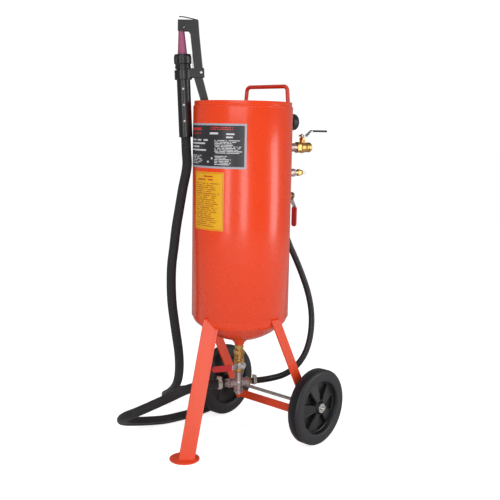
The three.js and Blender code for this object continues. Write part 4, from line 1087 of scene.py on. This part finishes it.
def make_camera():
    """The camera, by the bearing and dip of its view, its roll and its lens."""
    heading, dip, roll = math.radians(132.192), math.radians(8.589), math.radians(1.06)
    ahead = Vector((math.cos(heading) * math.cos(dip), math.sin(heading) * math.cos(dip), -math.sin(dip)))
    right = Vector((math.sin(heading), -math.cos(heading), 0))
    up = right.cross(ahead)
    across = right * math.cos(roll) + up * math.sin(roll)
    above = up * math.cos(roll) - right * math.sin(roll)
    data = bpy.data.cameras.new("Camera")
    data.lens = 58.2
    camera = bpy.data.objects.new("Camera", data)
    spot = TANK @ Vector((1778.4, -1917.1, 1041.3))
    camera.matrix_world = Matrix.Translation(spot) @ axes(across, above, -ahead)
    bpy.context.scene.collection.objects.link(camera)
    bpy.context.scene.camera = camera


def make_light(name, azimuth, distance, height, size, power):
    """A soft box at a bearing and distance from the tank's axis, aimed at the tank's middle."""
    aim = 0.75
    data = bpy.data.lights.new(name, "AREA")
    data.shape = "RECTANGLE"
    data.size, data.size_y = size
    data.energy = power
    lamp = bpy.data.objects.new(name, data)
    angle = math.radians(azimuth)
    spot = Vector((distance * math.cos(angle), distance * math.sin(angle), height))
    lamp.location = spot + Vector((AXIS.x, AXIS.y, 0))
    aimed = Vector((AXIS.x, AXIS.y, aim)) - lamp.location
    lamp.rotation_euler = aimed.to_track_quat("-Z", "Y").to_euler()
    lamp.visible_camera = False
    bpy.context.scene.collection.objects.link(lamp)


def make_floor():
    """A pale floor that shines a little towards the camera only."""
    reach, shine = 40, 0.75
    data = bpy.data.meshes.new("floor")
    corners = [(-reach, -reach, 0), (reach, -reach, 0), (reach, reach, 0), (-reach, reach, 0)]
    data.from_pydata(corners, [], [(0, 1, 2, 3)])
    tree, shader = start_finish("floor")
    shader.inputs["Base Color"].default_value = (0.9, 0.9, 0.9, 1)
    shader.inputs["Roughness"].default_value = 0.9
    shader.inputs["Specular IOR Level"].default_value = 0.1
    shader.inputs["Emission Color"].default_value = (1, 1, 1, 1)
    seen = add_node(tree, "ShaderNodeLightPath").outputs["Is Camera Ray"]
    tree.links.new(calc(tree, "MULTIPLY", seen, shine), shader.inputs["Emission Strength"])
    data.materials.append(bpy.data.materials["floor_finish"])
    floor = bpy.data.objects.new("floor", data)
    floor.location.z = -0.0005
    bpy.context.scene.collection.objects.link(floor)


def make_backdrop():
    """A white backdrop that lights the object less than it shows."""
    lighting, showing = 0.3, 1.05
    world = bpy.data.worlds.new("studio")
    world.use_nodes = True
    tree = world.node_tree
    backdrop = tree.nodes["Background"]
    backdrop.inputs["Color"].default_value = (1, 1, 1, 1)
    seen = add_node(tree, "ShaderNodeLightPath").outputs["Is Camera Ray"]
    spread = add_node(tree, "ShaderNodeMapRange", {0: seen, 3: lighting, 4: showing})
    tree.links.new(spread.outputs[0], backdrop.inputs["Strength"])
    bpy.context.scene.world = world
    bpy.context.scene.view_settings.view_transform = "Standard"


def make_lights():
    make_light("Strip left", -79, 3.2, 1.0, (0.6, 2.8), 24)
    make_light("Strip right", -42, 3.2, 1.0, (0.8, 2.8), 31)
    make_light("Side", 32, 3.0, 1.0, (1.0, 2.6), 32)
    make_light("Top", -60, 1.6, 3.4, (1.8, 1.8), 22)


# ------------------------------------------------------------------ operators and panel

class BLASTER_OT_finishes(bpy.types.Operator):
    """Make the paints, metals, rubbers and printed films"""
    bl_idname = "blaster.finishes"
    bl_label = "Finishes"

    def execute(self, context):
        make_finishes(context.scene.blaster)
        return {"FINISHED"}


class BLASTER_OT_stage(bpy.types.Operator):
    """Set up the camera, floor and lights"""
    bl_idname = "blaster.stage"
    bl_label = "Stage"

    def execute(self, context):
        make_camera()
        make_floor()
        make_backdrop()
        make_lights()
        return {"FINISHED"}


class BLASTER_OT_hoses(bpy.types.Operator):
    """Lay the air hose and the sleeved blast hose"""
    bl_idname = "blaster.hoses"
    bl_label = "Hoses"

    def execute(self, context):
        make_hose("air_hose", "hose_rubber", AIR_ROUTE, AIR_DIAMETER)
        make_hose("blast_hose", "hose_sleeve", BLAST_ROUTE, BLAST_DIAMETER)
        return {"FINISHED"}


class BLASTER_OT_tank(bpy.types.Operator):
    """Build the shell, heads, outlet boss, handle and welds"""
    bl_idname = "blaster.tank"
    bl_label = "Tank"

    def execute(self, context):
        chosen = context.scene.blaster
        bead = chosen.bead / MM
        make_shell(chosen.segments)
        make_heads(chosen.segments)
        make_boss()
        make_seams(bead)
        make_handle(bead)
        return {"FINISHED"}


class BLASTER_OT_stickers(bpy.types.Operator):
    """Wrap the label and the instruction sheet round the shell"""
    bl_idname = "blaster.stickers"
    bl_label = "Stickers"

    def execute(self, context):
        make_stickers()
        return {"FINISHED"}


class BLASTER_OT_filler(bpy.types.Operator):
    """Build the filler collar, gasket and cap"""
    bl_idname = "blaster.filler"
    bl_label = "Filler"

    def execute(self, context):
        make_filler()
        return {"FINISHED"}


class BLASTER_OT_legs(bpy.types.Operator):
    """Build the legs, foot pad and crossbar"""
    bl_idname = "blaster.legs"
    bl_label = "Legs"

    def execute(self, context):
        make_legs()
        return {"FINISHED"}


class BLASTER_OT_wheels(bpy.types.Operator):
    """Build the tyres, discs, axle and pins"""
    bl_idname = "blaster.wheels"
    bl_label = "Wheels"

    def execute(self, context):
        make_wheel(-1, "left")
        make_wheel(1, "right")
        make_axle()
        return {"FINISHED"}


class BLASTER_OT_ports(bpy.types.Operator):
    """Build the gauge, exhaust valve, relief valve and air inlet"""
    bl_idname = "blaster.ports"
    bl_label = "Side ports"

    def execute(self, context):
        make_gauge()
        make_exhaust()
        make_relief()
        make_air_inlet()
        return {"FINISHED"}


class BLASTER_OT_outlet(bpy.types.Operator):
    """Build the sand valve, cross, hose tails and clamps"""
    bl_idname = "blaster.outlet"
    bl_label = "Outlet"

    def execute(self, context):
        make_outlet()
        return {"FINISHED"}


class BLASTER_OT_gun(bpy.types.Operator):
    """Build the blast gun with its dead-man lever"""
    bl_idname = "blaster.gun"
    bl_label = "Blast gun"

    def execute(self, context):
        make_gun()
        return {"FINISHED"}


STEPS = [
    BLASTER_OT_finishes, BLASTER_OT_stage, BLASTER_OT_hoses, BLASTER_OT_tank, BLASTER_OT_stickers,
    BLASTER_OT_filler, BLASTER_OT_legs, BLASTER_OT_wheels, BLASTER_OT_ports, BLASTER_OT_outlet,
    BLASTER_OT_gun,
]


class BLASTER_PT_panel(bpy.types.Panel):
    """The blaster's sizes, colours and building steps"""
    bl_idname = "BLASTER_PT_panel"
    bl_label = "Abrasive Blaster"
    bl_space_type = "VIEW_3D"
    bl_region_type = "UI"
    bl_category = "Blaster"

    def draw(self, context):
        for name in BlasterSettings.__annotations__:
            self.layout.prop(context.scene.blaster, name)
        for step in STEPS:
            self.layout.operator(step.bl_idname)


def register():
    for kind in (BlasterSettings, *STEPS, BLASTER_PT_panel):
        bpy.utils.register_class(kind)
    bpy.types.Scene.blaster = PointerProperty(type=BlasterSettings)


def unregister():
    del bpy.types.Scene.blaster
    for kind in (BLASTER_PT_panel, *reversed(STEPS), BlasterSettings):
        bpy.utils.unregister_class(kind)


def main():
    register()
    for step in STEPS:
        group, name = step.bl_idname.split(".")
        getattr(getattr(bpy.ops, group), name)()


if __name__ == "__main__":
    main()
